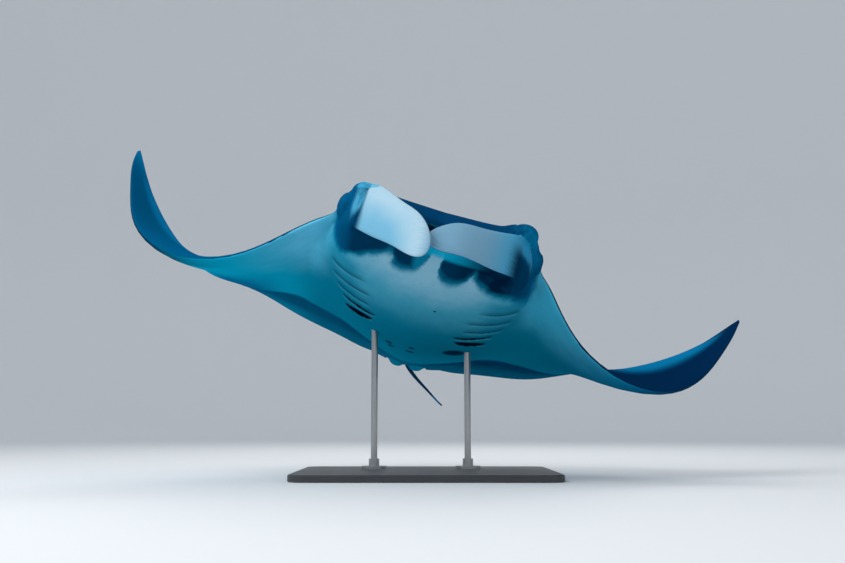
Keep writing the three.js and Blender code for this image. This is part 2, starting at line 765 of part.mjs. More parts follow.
// ---------------------------------------------------------------- placing and stand

manta.rotation.set(-BODY_PITCH, BODY_ROLL, BODY_YAW, "ZYX");
const overBase = toBodyFrame(new THREE.Vector3(0, STAND_BACK, 0)).applyEuler(manta.rotation);
manta.position.set(-overBase.x, -overBase.y, BODY_HEIGHT);
manta.updateMatrixWorld();

function addStandBase() {
  const shape = new THREE.Shape();
  const x = BASE_LENGTH / 2 - BASE_CORNER;
  const y = BASE_WIDTH / 2 - BASE_CORNER;
  shape.absarc(x, y, BASE_CORNER, 0, Math.PI / 2);
  shape.absarc(-x, y, BASE_CORNER, Math.PI / 2, Math.PI);
  shape.absarc(-x, -y, BASE_CORNER, Math.PI, 1.5 * Math.PI);
  shape.absarc(x, -y, BASE_CORNER, 1.5 * Math.PI, 2 * Math.PI);
  const plate = new THREE.ExtrudeGeometry(shape, {
    depth: BASE_THICKNESS - 2 * BASE_EDGE,
    curveSegments: 4,
    bevelSize: BASE_EDGE,
    bevelOffset: -BASE_EDGE,
    bevelThickness: BASE_EDGE,
    bevelSegments: 1,
  });
  plate.translate(0, 0, BASE_EDGE);
  addMesh(group, "stand_base", plate, FINISHES.standBase);
}

// Each rod stands on the base in a collar, and ends against the belly, a hair short of both.
function addStandRods() {
  const belly = bodyCutter.transform(manta.matrixWorld.elements);
  const foot = BASE_THICKNESS + GAP;
  for (const side of [-1, 1]) {
    const name = side < 0 ? "right" : "left";
    const top = toBodyFrame(new THREE.Vector3(side * ROD_SIDE, ROD_BACK, 0));
    top.applyMatrix4(manta.matrixWorld);
    const rod = new THREE.CylinderGeometry(ROD_RADIUS, ROD_RADIUS, top.z - foot, ROUND_SEGMENTS);
    rod.rotateX(Math.PI / 2);
    rod.translate(top.x, top.y, (top.z + foot) / 2);
    const trimmed = toGeometry(toSolid(rod).subtract(belly));
    addMesh(group, `stand_rod_${name}`, trimmed, FINISHES.standRod);
    const collar = collarGeometry();
    collar.translate(top.x, top.y, foot);
    addMesh(group, `stand_collar_${name}`, collar, FINISHES.standRod);
  }
}

// A turned ring: a flat flange with a short collar round the rod.
function collarGeometry() {
  const bore = ROD_RADIUS + GAP;
  const profile = [
    [bore, 0],
    [FLANGE_RADIUS, 0],
    [FLANGE_RADIUS, FLANGE_HEIGHT],
    [COLLAR_RADIUS, FLANGE_HEIGHT],
    [COLLAR_RADIUS, COLLAR_HEIGHT],
    [bore, COLLAR_HEIGHT],
    [bore, 0],
  ];
  const corners = profile.map(([x, y]) => new THREE.Vector2(x, y));
  const collar = new THREE.LatheGeometry(corners, ROUND_SEGMENTS);
  collar.rotateX(Math.PI / 2);
  return outward(collar);
}

addBody();
addWings();
addEyes();
addCephalicFins();
addDorsalFin();
addTail();
addPelvicFins(toSolid(tailStretch(0, 1, GAP)));
addStandBase();
addStandRods();
group.add(manta);

export default group;
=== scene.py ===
"""Life-size giant manta ray on its display stand: skin, eyes, finishes, studio and camera.

Blender units are metres, +Z up, with the animal's head towards -Y. Its form is described
flat first, as fractions of the disc width: x sideways from the midline, y from the upper jaw
back to the tail, z up. The wings are then bent, and the pose sets the animal on its stand.
"""

import logging
import math
from collections.abc import Callable, Sequence
from dataclasses import dataclass, field
from enum import Enum
from functools import reduce
from operator import or_

import bmesh
import bpy
import numpy as np
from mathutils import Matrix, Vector
from mathutils.bvhtree import BVHTree
from mathutils.interpolate import poly_3d_calc

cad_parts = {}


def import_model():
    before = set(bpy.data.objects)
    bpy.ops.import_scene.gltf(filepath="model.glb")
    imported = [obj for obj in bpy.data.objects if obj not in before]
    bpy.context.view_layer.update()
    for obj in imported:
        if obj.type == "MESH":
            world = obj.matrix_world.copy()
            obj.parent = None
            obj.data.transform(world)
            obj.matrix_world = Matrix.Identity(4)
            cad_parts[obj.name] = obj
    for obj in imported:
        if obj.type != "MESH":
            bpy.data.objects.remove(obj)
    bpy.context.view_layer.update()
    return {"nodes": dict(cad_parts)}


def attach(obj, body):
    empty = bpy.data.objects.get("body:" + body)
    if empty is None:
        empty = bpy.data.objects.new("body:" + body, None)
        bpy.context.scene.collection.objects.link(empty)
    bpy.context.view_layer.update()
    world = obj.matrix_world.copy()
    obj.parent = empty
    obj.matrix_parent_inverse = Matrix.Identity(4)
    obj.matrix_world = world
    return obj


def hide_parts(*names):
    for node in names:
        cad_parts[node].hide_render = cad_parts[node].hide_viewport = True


log = logging.getLogger("manta")

DISC_WIDTH = 4.5
BODY = "root"
LAYERS = ("flat", "zone", "edge")
SLIVER = 1e-6
TINY = 1e-9
ENDLESS = 1e6

Array = np.ndarray
Span = tuple[float, float]
Point = tuple[float, float, float]
Colour = tuple[float, float, float]
Mesh = bmesh.types.BMesh
Verts = Sequence[bmesh.types.BMVert]
Socket = bpy.types.NodeSocket
Thing = bpy.types.Object
Material = bpy.types.Material


# ------------------------------------------------------------------ small sums


def smooth(value: Array, low: float, high: float) -> Array:
    """Smooth step from 0 at low to 1 at high."""
    t = np.clip((value - low) / (high - low), 0.0, 1.0)
    return t * t * (3.0 - 2.0 * t)


def smoother(value: Array, low: float, high: float) -> Array:
    """Smooth step from 0 at low to 1 at high, with no kink in its slope."""
    t = np.clip((value - low) / (high - low), 0.0, 1.0)
    return t**3 * (t * (6.0 * t - 15.0) + 10.0)


def round_off(distance: Array, length: Array | float) -> Array:
    """Quarter-circle rise from 0 at an edge to 1 at one length from it."""
    along = np.clip(distance / length, 0.0, 1.0)
    return np.sqrt(1.0 - (1.0 - along) ** 2)


def covered(pace: Array, step: float) -> Array:
    """Distance covered by each of a row of even steps, from the pace at each."""
    return np.concatenate([[0.0], np.cumsum((pace[1:] + pace[:-1]) / 2 * step)])


def unit(vectors: Array) -> Array:
    """Vectors brought to a length of 1."""
    return vectors / np.linalg.norm(vectors, axis=-1, keepdims=True)


def curve_through(corners: Sequence[Sequence[float]], t: Array) -> Array:
    """Catmull-Rom curve through evenly spaced corners.

    Args:
        corners: the corner points.
        t: where to read the curve, 0 at the first corner and 1 at the last.

    Returns:
        One point for each t.
    """
    points = np.asarray(corners, float)
    spans = len(points) - 1
    position = np.clip(t, 0.0, 1.0) * spans
    span = np.minimum(position.astype(int), spans - 1)
    f = (position - span)[..., None]
    first = 2 * points[0] - points[1]
    last = 2 * points[-1] - points[-2]
    padded = np.vstack([first, points, last])
    a, b, c, d = (padded[span + k] for k in range(4))
    cubic = (-a + 3 * b - 3 * c + d) * f**3
    return 0.5 * (2 * b + (c - a) * f + (2 * a - 5 * b + 4 * c - d) * f**2 + cubic)


# ------------------------------------------------------------------ pose


@dataclass(frozen=True)
class Pose:
    """Where the animal's own frame lies above the floor."""

    height: float = 1.113
    pitch: float = math.radians(21.4)
    roll: float = math.radians(16.1)
    yaw: float = math.radians(1.2)
    anchor: float = 0.2
    over_base: float = 0.197

    def turn(self) -> Array:
        """Works out how the animal is turned.

        Returns:
            The rotation from the animal's frame to the floor's, as a 3 by 3 matrix.
        """
        cp, sp = math.cos(self.pitch), math.sin(self.pitch)
        cr, sr = math.cos(self.roll), math.sin(self.roll)
        cy, sy = math.cos(self.yaw), math.sin(self.yaw)
        pitch = np.array([[1, 0, 0], [0, cp, sp], [0, -sp, cp]])
        roll = np.array([[cr, 0, sr], [0, 1, 0], [-sr, 0, cr]])
        yaw = np.array([[cy, -sy, 0], [sy, cy, 0], [0, 0, 1]])
        return yaw @ roll @ pitch

    def place(self, flat: Array) -> Array:
        """Sets points of the animal on its stand.

        Args:
            flat: points in fractions of the disc width, bent already.

        Returns:
            The same points in metres above the floor.
        """
        turn = self.turn()
        shift = turn @ np.array([0.0, self.over_base - self.anchor, 0.0]) * DISC_WIDTH
        ground = np.array([-shift[0], -shift[1], self.height])
        return (flat - np.array([0.0, self.anchor, 0.0])) @ turn.T * DISC_WIDTH + ground


@dataclass(frozen=True)
class WingBend:
    """How one wing bends: a droop at its root, then a long upward sweep, and a twist.

    The twist turns about an axis that lies further back the further out it is.
    """

    side: int
    droop: float
    lift: float
    lift_start: float
    lift_span: float
    twist: float
    tip_twist: float
    forward: float
    slant: float = -0.5
    droop_start: float = 0.09
    droop_span: float = 0.09
    slant_over: Span = (0.1, 0.35)
    twist_over: Span = (0.1, 0.3)
    tip_twist_over: Span = (0.25, 0.5)
    forward_over: Span = (0.12, 0.5)
    axis_root: float = 0.22
    axis_sweep: float = 0.16
    reach: float = 0.56
    steps: int = 448

    def bend(self, flat: Array) -> Array:
        """Bends flat points of this side.

        Args:
            flat: points with x counted outwards from the midline.

        Returns:
            The bent points, with x negative on the animal's right.
        """
        run = np.linspace(0.0, self.reach, self.steps + 1)
        angle = self.droop * smoother(run, self.droop_start, self.droop_start + self.droop_span)
        angle += self.lift * smoother(run, self.lift_start, self.lift_start + self.lift_span)
        step = run[1] - run[0]
        out = covered(np.cos(angle), step)
        up = covered(np.sin(angle), step)
        x, y, z = flat[:, 0], flat[:, 1], flat[:, 2]
        axis = self.axis_root + self.axis_sweep * x
        behind = y - axis
        slant = self.slant * behind * smoother(x, *self.slant_over)
        along = np.clip(x + slant, 0.0, self.reach)
        turn = self.twist * smoother(x, *self.twist_over)
        turn += self.tip_twist * smoother(x, *self.tip_twist_over)
        height = z * np.cos(turn) + behind * np.sin(turn)
        tilt = np.interp(along, run, angle)
        beyond = x - along
        bent_x = np.interp(along, run, out) + beyond * np.cos(tilt) - height * np.sin(tilt)
        bent_y = axis + behind * np.cos(turn) - z * np.sin(turn)
        bent_y -= self.forward * smoother(x, *self.forward_over)
        bent_z = np.interp(along, run, up) + beyond * np.sin(tilt) + height * np.cos(tilt)
        return np.stack([self.side * bent_x, bent_y, bent_z], axis=1)


RIGHT_WING = WingBend(-1, -0.308, 1.239, 0.223, 0.195, 0.37, -0.107, 0.081)
LEFT_WING = WingBend(1, -0.513, 1.34, 0.08, 0.353, 0.528, -0.18, 0.039)
POSE = Pose()


def pose_animal(flat: Array) -> Array:
    """Bends and places flat points of both sides.

    Args:
        flat: points in fractions of the disc width, x negative on the animal's right.

    Returns:
        The points in metres, above the floor.
    """
    folded = flat.copy()
    folded[:, 0] = np.abs(flat[:, 0])
    right = RIGHT_WING.bend(folded)
    left = LEFT_WING.bend(folded)
    return POSE.place(np.where(flat[:, :1] < 0, right, left))


# ------------------------------------------------------------------ flat form


@dataclass(frozen=True)
class GillSlit:
    """One gill slit of a row: its two ends on the flat belly, its opening and its bow."""

    outer: Span
    inner: Span
    width: float
    bow: float = 0.003

    def line(self, x: Array) -> Array:
        """Reads the slit's middle line.

        Args:
            x: distances from the midline.

        Returns:
            The line's distance back at each of them.
        """
        t = (self.outer[0] - x) / (self.outer[0] - self.inner[0])
        bow = self.bow * 4 * np.clip(t, 0, 1) * np.clip(1 - t, 0, 1)
        return self.outer[1] + t * (self.inner[1] - self.outer[1]) + bow


GILLS = (
    GillSlit((0.126, 0.122), (0.074, 0.114), 0.0016),
    GillSlit((0.121, 0.147), (0.064, 0.143), 0.0018),
    GillSlit((0.113, 0.172), (0.063, 0.171), 0.0022),
    GillSlit((0.102, 0.194), (0.052, 0.193), 0.0090),
    GillSlit((0.097, 0.220), (0.056, 0.213), 0.0200),
)


@dataclass(frozen=True)
class Bulge:
    """How the trunk swells above or below the wing plane, from the head backwards."""

    height: float
    rise: float
    rise_over: Span
    fall_over: Span
    broadening: float
    broaden_over: Span
    narrowing: float
    narrow_over: Span
    softening: float
    soften_over: Span
    fall: float = 0.88
    head_half: float = 0.126
    head_flatness: float = 0.3

    def at(self, x: Array, y: Array) -> Array:
        """Reads the swell.

        Args:
            x: distances from the midline.
            y: distances back.

        Returns:
            The swell's size at those places.
        """
        height = self.height + self.rise * smooth(y, *self.rise_over)
        height = height * (1 - self.fall * smooth(y, *self.fall_over))
        half = self.head_half + self.broadening * smooth(y, *self.broaden_over)
        half = half - self.narrowing * smooth(y, *self.narrow_over)
        flatness = self.head_flatness + self.softening * smooth(y, *self.soften_over)
        return height * np.clip(1 - (x / half) ** 2, 0, 1) ** flatness


BACK_BULGE = Bulge(
    height=0.007, rise=0.034, rise_over=(0, 0.18), fall_over=(0.2, 0.47),
    broadening=0.052, broaden_over=(0.06, 0.2), narrowing=0.13, narrow_over=(0.24, 0.47),
    softening=1.0, soften_over=(0.02, 0.15),
)
BELLY_BULGE = Bulge(
    height=0.048, rise=0.005, rise_over=(0, 0.12), fall_over=(0.16, 0.47),
    broadening=0.032, broaden_over=(0.06, 0.16), narrowing=0.11, narrow_over=(0.22, 0.47),
    softening=0.75, soften_over=(0.04, 0.2),
)


@dataclass(frozen=True)
class DiscForm:
    """The animal's body laid flat: outlines, wing section, mouth and relief."""

    front_edge: tuple[Span, ...] = (
        (0.0, 0.014), (0.05, 0.008), (0.088, 0.0), (0.111, 0.013), (0.125, 0.045),
        (0.14, 0.079), (0.2, 0.098), (0.3, 0.1275), (0.4, 0.183), (0.471, 0.251),
        (0.5, 0.288),
    )
    rear_edge: tuple[Span, ...] = (
        (0.0, 0.438), (0.012, 0.438), (0.025, 0.4375), (0.045, 0.4365), (0.075, 0.431),
        (0.12, 0.41), (0.2, 0.381), (0.3, 0.328), (0.39, 0.268), (0.434, 0.262),
        (0.5, 0.288),
    )
    mouth_corner: float = 0.2
    mouth_depth: float = 0.085
    upper_lip_rise: float = 0.01
    lower_lip_drop: float = 0.026
    lower_lip_setback: float = 0.006
    setback_power: int = 8
    corner_drop: float = 0.016
    lips_level_at: float = 0.48
    lip_fade: Span = (0, 0.25)
    jaw_sag: float = 0.007
    sag_from: float = 0.14
    sag_back: Span = (0.04, 0.14)
    lining_waist: float = 0.35
    lining_narrowing: float = 0.1
    front_rounding: float = 0.014
    rounding_fade: Span = (0.46, 0.54)
    foil: tuple[float, ...] = (2.969, -1.26, -3.516, 2.843, -1.036)
    wing_thickness: float = 0.018
    tip_thickness: float = 0.0012
    tip_taper: float = 1.2
    full_chord: float = 0.2
    chord_taper: float = 0.6
    edge_thickness: float = 0.0006
    edge_chord: float = 0.02
    pleat_height: float = 0.0011
    pleat_run: float = 0.011
    pleat_fall: float = 0.0035
    pleat_inner_fade: Span = (-0.012, 0.012)
    pleat_outer_fade: Span = (-0.014, 0.01)

    def wing_half(self, x: Array, c: Array, chord: Array) -> Array:
        """Works out the wing's section.

        Args:
            x: distances from the midline.
            c: fractions of the chord, 0 in front.
            chord: the chord's length at each place.

        Returns:
            Half the wing's thickness.
        """
        root, first, second, third, fourth = self.foil
        foil = root * np.sqrt(c) + first * c + second * c**2 + third * c**3 + fourth * c**4
        taper = np.clip(1 - 2 * x, 0, 1) ** self.tip_taper
        body = (self.wing_thickness * taper + self.tip_thickness) * foil
        body = body * np.clip(chord / self.full_chord, 0, 1) ** self.chord_taper
        edge = self.edge_thickness * np.cbrt(np.clip(4 * c * (1 - c), 0, 1))
        return body + edge * np.clip(chord / self.edge_chord, 0, 1)

    def mouth_open(self, station: Array) -> Array:
        """How far the mouth is open: 1 at the midline, 0 from the corners outwards."""
        return np.sqrt(np.clip(1 - (station / self.mouth_corner) ** 4, 0, 1))

    def sag(self, station: Array) -> Array:
        """How far the upper jaw hangs below its corners."""
        return self.jaw_sag * (1 - smooth(station, self.sag_from, self.mouth_corner))

    def lips(self, station: Array) -> tuple[Array, Array]:
        """Works out the two lips.

        Args:
            station: 0 at the midline, 1 at the wing tip.

        Returns:
            The heights of the upper lip and of the lower one.
        """
        fade = smooth(station, self.mouth_corner, self.lips_level_at)
        middle = -self.corner_drop * (1 - fade)
        gape = self.mouth_open(station)
        upper = middle + self.upper_lip_rise * gape - self.sag(station)
        return upper, middle - self.lower_lip_drop * gape

    def pleats(self, x: Array, y: Array) -> Array:
        """Swells the gill flaps outwards: each rises backwards and drops at its slit.

        Args:
            x: distances from the midline.
            y: distances back.

        Returns:
            The swell at those places.
        """
        inner_start, inner_end = self.pleat_inner_fade
        outer_start, outer_end = self.pleat_outer_fade
        swell = np.zeros_like(x)
        for slit in GILLS:
            behind = y - slit.line(x)
            ends = smooth(x, slit.inner[0] + inner_start, slit.inner[0] + inner_end)
            ends = ends * (1 - smooth(x, slit.outer[0] + outer_start, slit.outer[0] + outer_end))
            rise = np.exp(np.clip(behind, -1, 0) / self.pleat_run)
            fall = 1 - smooth(behind, 0.0, self.pleat_fall)
            swell = swell + self.pleat_height * ends * rise * fall
        return swell

    def surface(self, station: Array, c: Array, up: bool) -> Array:
        """Works out points of the back or the belly.

        Args:
            station: 0 at the midline, 1 at the wing tip.
            c: fraction of the chord, 0 in front.
            up: true for the back, false for the belly.

        Returns:
            Flat points with x outwards.
        """
        front = curve_through(self.front_edge, station)
        rear = curve_through(self.rear_edge, station)
        chord = np.hypot(*(rear - front).T)
        upper, lower = self.lips(station)
        x, y = (front + c[:, None] * (rear - front)).T
        if not up:
            setback = self.lower_lip_setback * self.mouth_open(station)
            y = y + setback * (1 - c) ** self.setback_power
        lip = (upper if up else lower) * (1 - smooth(c, *self.lip_fade))
        rise = round_off(c * chord, self.front_rounding)
        rise = rise + (1 - rise) * smooth(station, *self.rounding_fade)
        if up:
            swell = BACK_BULGE.at(x, y) - self.sag(station) * (1 - smooth(y, *self.sag_back))
        else:
            swell = -BELLY_BULGE.at(x, y) - self.pleats(x, y)
        wing = self.wing_half(x, c, chord) * (1 if up else -1)
        z = np.where(c <= 0, lip, lip + (swell + wing - lip) * rise)
        return np.stack([x, y, z], axis=1)

    def lining(self, station: Array, t: Array) -> Array:
        """Works out points of the mouth's lining.

        Args:
            station: 0 at the midline, 1 at the wing tip.
            t: 0 at the lower lip, round the back of the mouth to 1 at the upper lip.

        Returns:
            Flat points with x outwards.
        """
        front = curve_through(self.front_edge, station)
        gape = self.mouth_open(station)
        upper, lower = self.lips(station)
        inward = np.sin(math.pi * t)
        depth = self.mouth_depth * gape * inward
        lip_rounding = np.maximum(self.lower_lip_setback * gape, TINY)
        narrowing = 1 - self.lining_waist * round_off(depth, lip_rounding)
        half_gap = (upper - lower) / 2 * narrowing * np.sqrt(np.clip(1 - inward**4, 0, 1))
        x = front[:, 0] * (1 - self.lining_narrowing * inward * gape)
        y = front[:, 1] + depth + self.lower_lip_setback * gape * (1 - t) * (1 - inward)
        z = (upper + lower) / 2 + np.sign(t - 0.5) * half_gap
        return np.stack([x, y, z], axis=1)


FORM = DiscForm()


# ------------------------------------------------------------------ meshes


def places(verts: Verts) -> Array:
    """The places of some vertices."""
    return np.array([vertex.co[:] for vertex in verts])


def set_places(verts: Verts, spots: Array) -> None:
    """Moves vertices to new places."""
    for vertex, spot in zip(verts, spots, strict=True):
        vertex.co = spot


def add_ball(mesh: Mesh, around: int, tall: int) -> Verts:
    """Adds a ball of radius 1 to a mesh and gives its vertices."""
    sizes = {"u_segments": around, "v_segments": tall, "radius": 1}
    return bmesh.ops.create_uvsphere(mesh, **sizes)["verts"]


def unrolled_grid(columns: int, rows: int) -> tuple[Mesh, Array, Array]:
    """Makes a plain grid to be wrapped round a form.

    Args:
        columns: faces round the form.
        rows: faces along it.

    Returns:
        The mesh, and each vertex's column and row.
    """
    mesh = bmesh.new()
    bmesh.ops.create_grid(mesh, x_segments=columns, y_segments=rows, size=1)
    spots = places(mesh.verts)
    column = np.rint((spots[:, 0] + 1) / 2 * columns).astype(int)
    row = np.rint((spots[:, 1] + 1) / 2 * rows).astype(int)
    return mesh, column, row


def face_outwards(mesh: Mesh) -> None:
    """Turns the faces of a closed mesh outwards."""
    bmesh.ops.recalc_face_normals(mesh, faces=mesh.faces)
    if mesh.calc_volume(signed=True) < 0:
        bmesh.ops.reverse_faces(mesh, faces=mesh.faces)


@dataclass
class Shell:
    """A closed mesh with, at each vertex, its flat place, its zone of skin and its edge.

    A zone is three numbers: how far the point belongs to the back, how far it is inside the
    mouth or a gill slit, and how far it is on the pale outer face of a cephalic fin. An edge
    is the distances from the wing's front and rear edges, and the station: 0 at the midline
    and 1 at the wing tip.
    """

    mesh: Mesh
    flat: Array
    zone: Array
    edge: Array
    weld: float = 2e-5

    def close(self, place: Callable[[Array], Array]) -> "Shell":
        """Wraps the grid round its form, closes its seams and turns it outwards.

        Args:
            place: how flat points are set on the stand.

        Returns:
            The same shell, closed.
        """
        mesh = self.mesh
        set_places(mesh.verts, place(self.flat))
        for name, values in zip(LAYERS, (self.flat, self.zone, self.edge), strict=True):
            layer = mesh.verts.layers.float_vector.new(name)
            for vertex, value in zip(mesh.verts, values, strict=True):
                vertex[layer] = value
        bmesh.ops.remove_doubles(mesh, verts=mesh.verts, dist=self.weld)
        bmesh.ops.dissolve_degenerate(mesh, dist=SLIVER, edges=mesh.edges)
        face_outwards(mesh)
        return self


def to_object(mesh: Mesh, name: str) -> Thing:
    """Links a finished mesh to the scene as a smooth-shaded object.

    Args:
        mesh: the mesh.
        name: the object's name.

    Returns:
        The object.
    """
    data = bpy.data.meshes.new(name)
    mesh.to_mesh(data)
    data.shade_smooth()
    piece = bpy.data.objects.new(name, data)
    bpy.context.scene.collection.objects.link(piece)
    return piece


class Join(Enum):
    """How one closed mesh is combined with another."""

    ADD = "UNION"
    CUT = "DIFFERENCE"


def combine(base: Mesh, other: Mesh, join: Join) -> Mesh:
    """Joins or cuts one closed mesh with another.

    Args:
        base: the mesh that is changed.
        other: the mesh that is added or cut away.
        join: whether to add or to cut.

    Returns:
        A new mesh.
    """
    body = to_object(base, "working_body")
    tool = to_object(other, "working_tool")
    modifier = body.modifiers.new("join", "BOOLEAN")
    modifier.solver = "MANIFOLD"
    modifier.operation = join.value
    modifier.object = tool
    graph = bpy.context.evaluated_depsgraph_get()
    joined = bmesh.new()
    joined.from_mesh(body.evaluated_get(graph).to_mesh())
    for piece in (body, tool):
        data = piece.data
        bpy.data.objects.remove(piece)
        bpy.data.meshes.remove(data)
    return joined


# ------------------------------------------------------------------ body


@dataclass(frozen=True)
class BodyShell:
    """The head, trunk and wings as one closed sheet wrapped from a grid.

    The grid's columns run back over the top, forwards under the belly and round the lining
    of the mouth. Its rows lie closer together at the mouth's corners and the wing tips, and
    the belly's columns at the lips, the gills and the rear edge.
    """

    mouth_rows: int = 34
    head_rows: int = 46
    wing_rows: int = 66
    wing_start: float = 0.5
    tip_crowding: float = 1.35
    back_columns: int = 62
    belly_columns: int = 118
    lining_columns: int = 22
    back_rounded: float = 0.7
    back_plain: float = 0.3
    back_crowding: float = 1.7
    lip_spacing: float = 0.05
    throat_spacing: float = 0.35
    throat_over: Span = (0, 0.2)
    rear_spacing: float = 1.9
    rear_over: Span = (0.66, 0.78)
    edge_crowding: float = 0.93
    edge_over: Span = (0.9, 1.0)

    def stations(self) -> Array:
        """Spaces the grid's rows.

        Returns:
            Their stations, negative on the animal's right.
        """
        corner = FORM.mouth_corner
        mouth = corner * np.sin(np.linspace(0, math.pi / 2, self.mouth_rows + 1))
        head = np.linspace(corner, self.wing_start, self.head_rows + 1)[1:]
        share = 1 - (1 - np.linspace(0, 1, self.wing_rows + 1)[1:]) ** self.tip_crowding
        wing = self.wing_start + (1 - self.wing_start) * share
        half = np.concatenate([mouth, head, wing])
        return np.concatenate([-half[:0:-1], half])

    def back_fractions(self) -> Array:
        """Spaces the back's columns, closer together at both edges.

        Returns:
            Their chord fractions from front to rear.
        """
        t = np.linspace(0, 1, self.back_columns + 1)
        rounded = self.back_rounded * (0.5 - 0.5 * np.cos(math.pi * t))
        return rounded + self.back_plain * t**self.back_crowding

    def belly_fractions(self) -> Array:
        """Spaces the belly's columns.

        Returns:
            Their chord fractions from front to rear.
        """
        t = np.linspace(0, 1, self.belly_columns + 1)
        spacing = self.lip_spacing + self.throat_spacing * smooth(t, *self.throat_over)
        spacing = spacing + self.rear_spacing * smooth(t, *self.rear_over)
        spacing = spacing * (1 - self.edge_crowding * smooth(t, *self.edge_over))
        steps = covered(spacing, 1.0)
        return steps / steps[-1]

    def build(self) -> Shell:
        """Wraps the grid round the form.

        Returns:
            The closed shell, with its skin layers.
        """
        stations = self.stations()
        belly_start = self.back_columns
        lining_start = belly_start + self.belly_columns
        columns = lining_start + self.lining_columns
        mesh, column, row = unrolled_grid(columns, len(stations) - 1)
        station = stations[row]
        reach = np.abs(station)
        flat = np.zeros((len(row), 3))
        zone = np.zeros((len(row), 3))
        fraction = np.zeros(len(row))
        is_back = column <= belly_start
        is_lining = column > lining_start
        is_belly = ~is_back & ~is_lining
        fraction[is_back] = self.back_fractions()[column[is_back]]
        fraction[is_belly] = self.belly_fractions()[::-1][column[is_belly] - belly_start]
        flat[is_back] = FORM.surface(reach[is_back], fraction[is_back], True)
        flat[is_belly] = FORM.surface(reach[is_belly], fraction[is_belly], False)
        round_mouth = np.linspace(0, 1, self.lining_columns + 1)
        t = round_mouth[column[is_lining] - lining_start]
        flat[is_lining] = FORM.lining(reach[is_lining], t)
        seam = column == columns
        lip = seam | (is_lining & (reach >= FORM.mouth_corner))
        flat[lip] = FORM.surface(reach[lip], np.zeros(lip.sum()), True)
        flat[reach >= 1] = FORM.surface(np.ones(1), np.ones(1), True)
        flat[:, 0] *= np.where(station < 0, -1.0, 1.0)
        zone[is_back | seam, 0] = 1.0
        zone[is_lining & ~lip, 1] = 1.0
        return Shell(mesh, flat, zone, self.edges(reach, fraction)).close(pose_animal)

    def edges(self, reach: Array, fraction: Array) -> Array:
        """Measures how far points are from the wing's edges, for the markings.

        Args:
            reach: stations from the midline outwards.
            fraction: chord fractions.

        Returns:
            Distances from the front and rear edges, and the stations.
        """
        rear = curve_through(FORM.rear_edge, reach)
        chord = np.hypot(*(rear - curve_through(FORM.front_edge, reach)).T)
        return np.stack([chord * fraction, chord * (1 - fraction), reach], axis=1)


# ------------------------------------------------------------------ limbs


class Skin(Enum):
    """The zone of skin that a limb's surface belongs to."""

    BACK = (1.0, 0.0, 0.0)
    BELLY = (0.0, 0.0, 0.0)
    HOLLOW = (0.0, 1.0, 0.0)
    FIN_FACE = (0.0, 0.0, 1.0)


@dataclass(frozen=True)
class Limb:
    """A closed limb: elliptical rings along a line, closed to a point at both ends."""

    line: tuple[Point, ...]
    across: Point
    breadth: Callable[[Array], Array]
    thickness: Callable[[Array], Array]
    upper: Skin
    lower: Skin
    columns: int
    rows: int
    face_blend: float = 0.35

    def ways(self, centre: Array) -> tuple[Array, Array]:
        """Works out where the limb's breadth and thickness point.

        Args:
            centre: points along its line.

        Returns:
            The breadth's direction and the thickness's at each point.
        """
        along = unit(np.gradient(centre, axis=0))
        thick = unit(np.cross(along, np.array(self.across, float)))
        return np.cross(thick, along), thick

    def build(self) -> Shell:
        """Wraps a grid round the line.

        Returns:
            The closed shell, with its skin layers.
        """
        mesh, column, row = unrolled_grid(self.columns, self.rows)
        along = 0.5 - 0.5 * np.cos(math.pi * np.linspace(0, 1, self.rows + 1))
        centre = curve_through(self.line, along)
        breadth_way, thick_way = self.ways(centre)
        angle = 2 * math.pi * (column % self.columns) / self.columns
        wide = self.breadth(along)[row] * np.cos(angle)
        deep = self.thickness(along)[row] * np.sin(angle)
        flat = centre[row] + breadth_way[row] * wide[:, None] + thick_way[row] * deep[:, None]
        face = smooth(np.sin(angle), -self.face_blend, self.face_blend)[:, None]
        zone = face * np.array(self.upper.value) + (1 - face) * np.array(self.lower.value)
        edge = np.stack([np.ones_like(angle), np.ones_like(angle), along[row]], axis=1)
        return Shell(mesh, flat, zone, edge).close(POSE.place)


@dataclass(frozen=True)
class CephalicFin:
    """One of the two broad fins that curl round in front of the mouth."""

    side: int
    line: tuple[Point, ...]
    across: Point
    root_breadth: float
    far_breadth: float
    squareness: float
    half_thickness: float = 0.006
    rounding_from: float = 0.62
    root_rounding: float = 0.04
    narrow_over: Span = (0.25, 0.7)
    root_swell: float = 0.9
    swell_over: Span = (0, 0.4)
    edge_thinning: float = 0.7
    columns: int = 44
    rows: int = 64

    def tip_rounding(self, t: Array) -> Array:
        """Rounds the outline off towards the tip and closes it inside the head.

        Args:
            t: 0 at the root, 1 at the tip.

        Returns:
            The share of the full breadth at each place.
        """
        past = np.clip((t - self.rounding_from) / (1 - self.rounding_from), 0, 1)
        tip = np.sqrt(np.clip(1 - past**self.squareness, 0, 1))
        return tip * round_off(t, self.root_rounding)

    def breadth(self, t: Array) -> Array:
        """Half breadth along the fin."""
        narrowing = (self.far_breadth - self.root_breadth) * smooth(t, *self.narrow_over)
        return (self.root_breadth + narrowing) * self.tip_rounding(t)

    def thickness(self, t: Array) -> Array:
        """Half thickness along the fin."""
        root = 1 + self.root_swell * (1 - smooth(t, *self.swell_over))
        return self.half_thickness * root * self.tip_rounding(t) ** self.edge_thinning

    def build(self) -> Shell:
        """Wraps the fin's skin.

        Returns:
            The fin as a closed shell.
        """
        line = tuple((self.side * x, y, z) for x, y, z in self.line)
        faces = (Skin.BACK, Skin.FIN_FACE) if self.side > 0 else (Skin.FIN_FACE, Skin.BACK)
        form = (line, self.across, self.breadth, self.thickness)
        return Limb(*form, *faces, self.columns, self.rows).build()


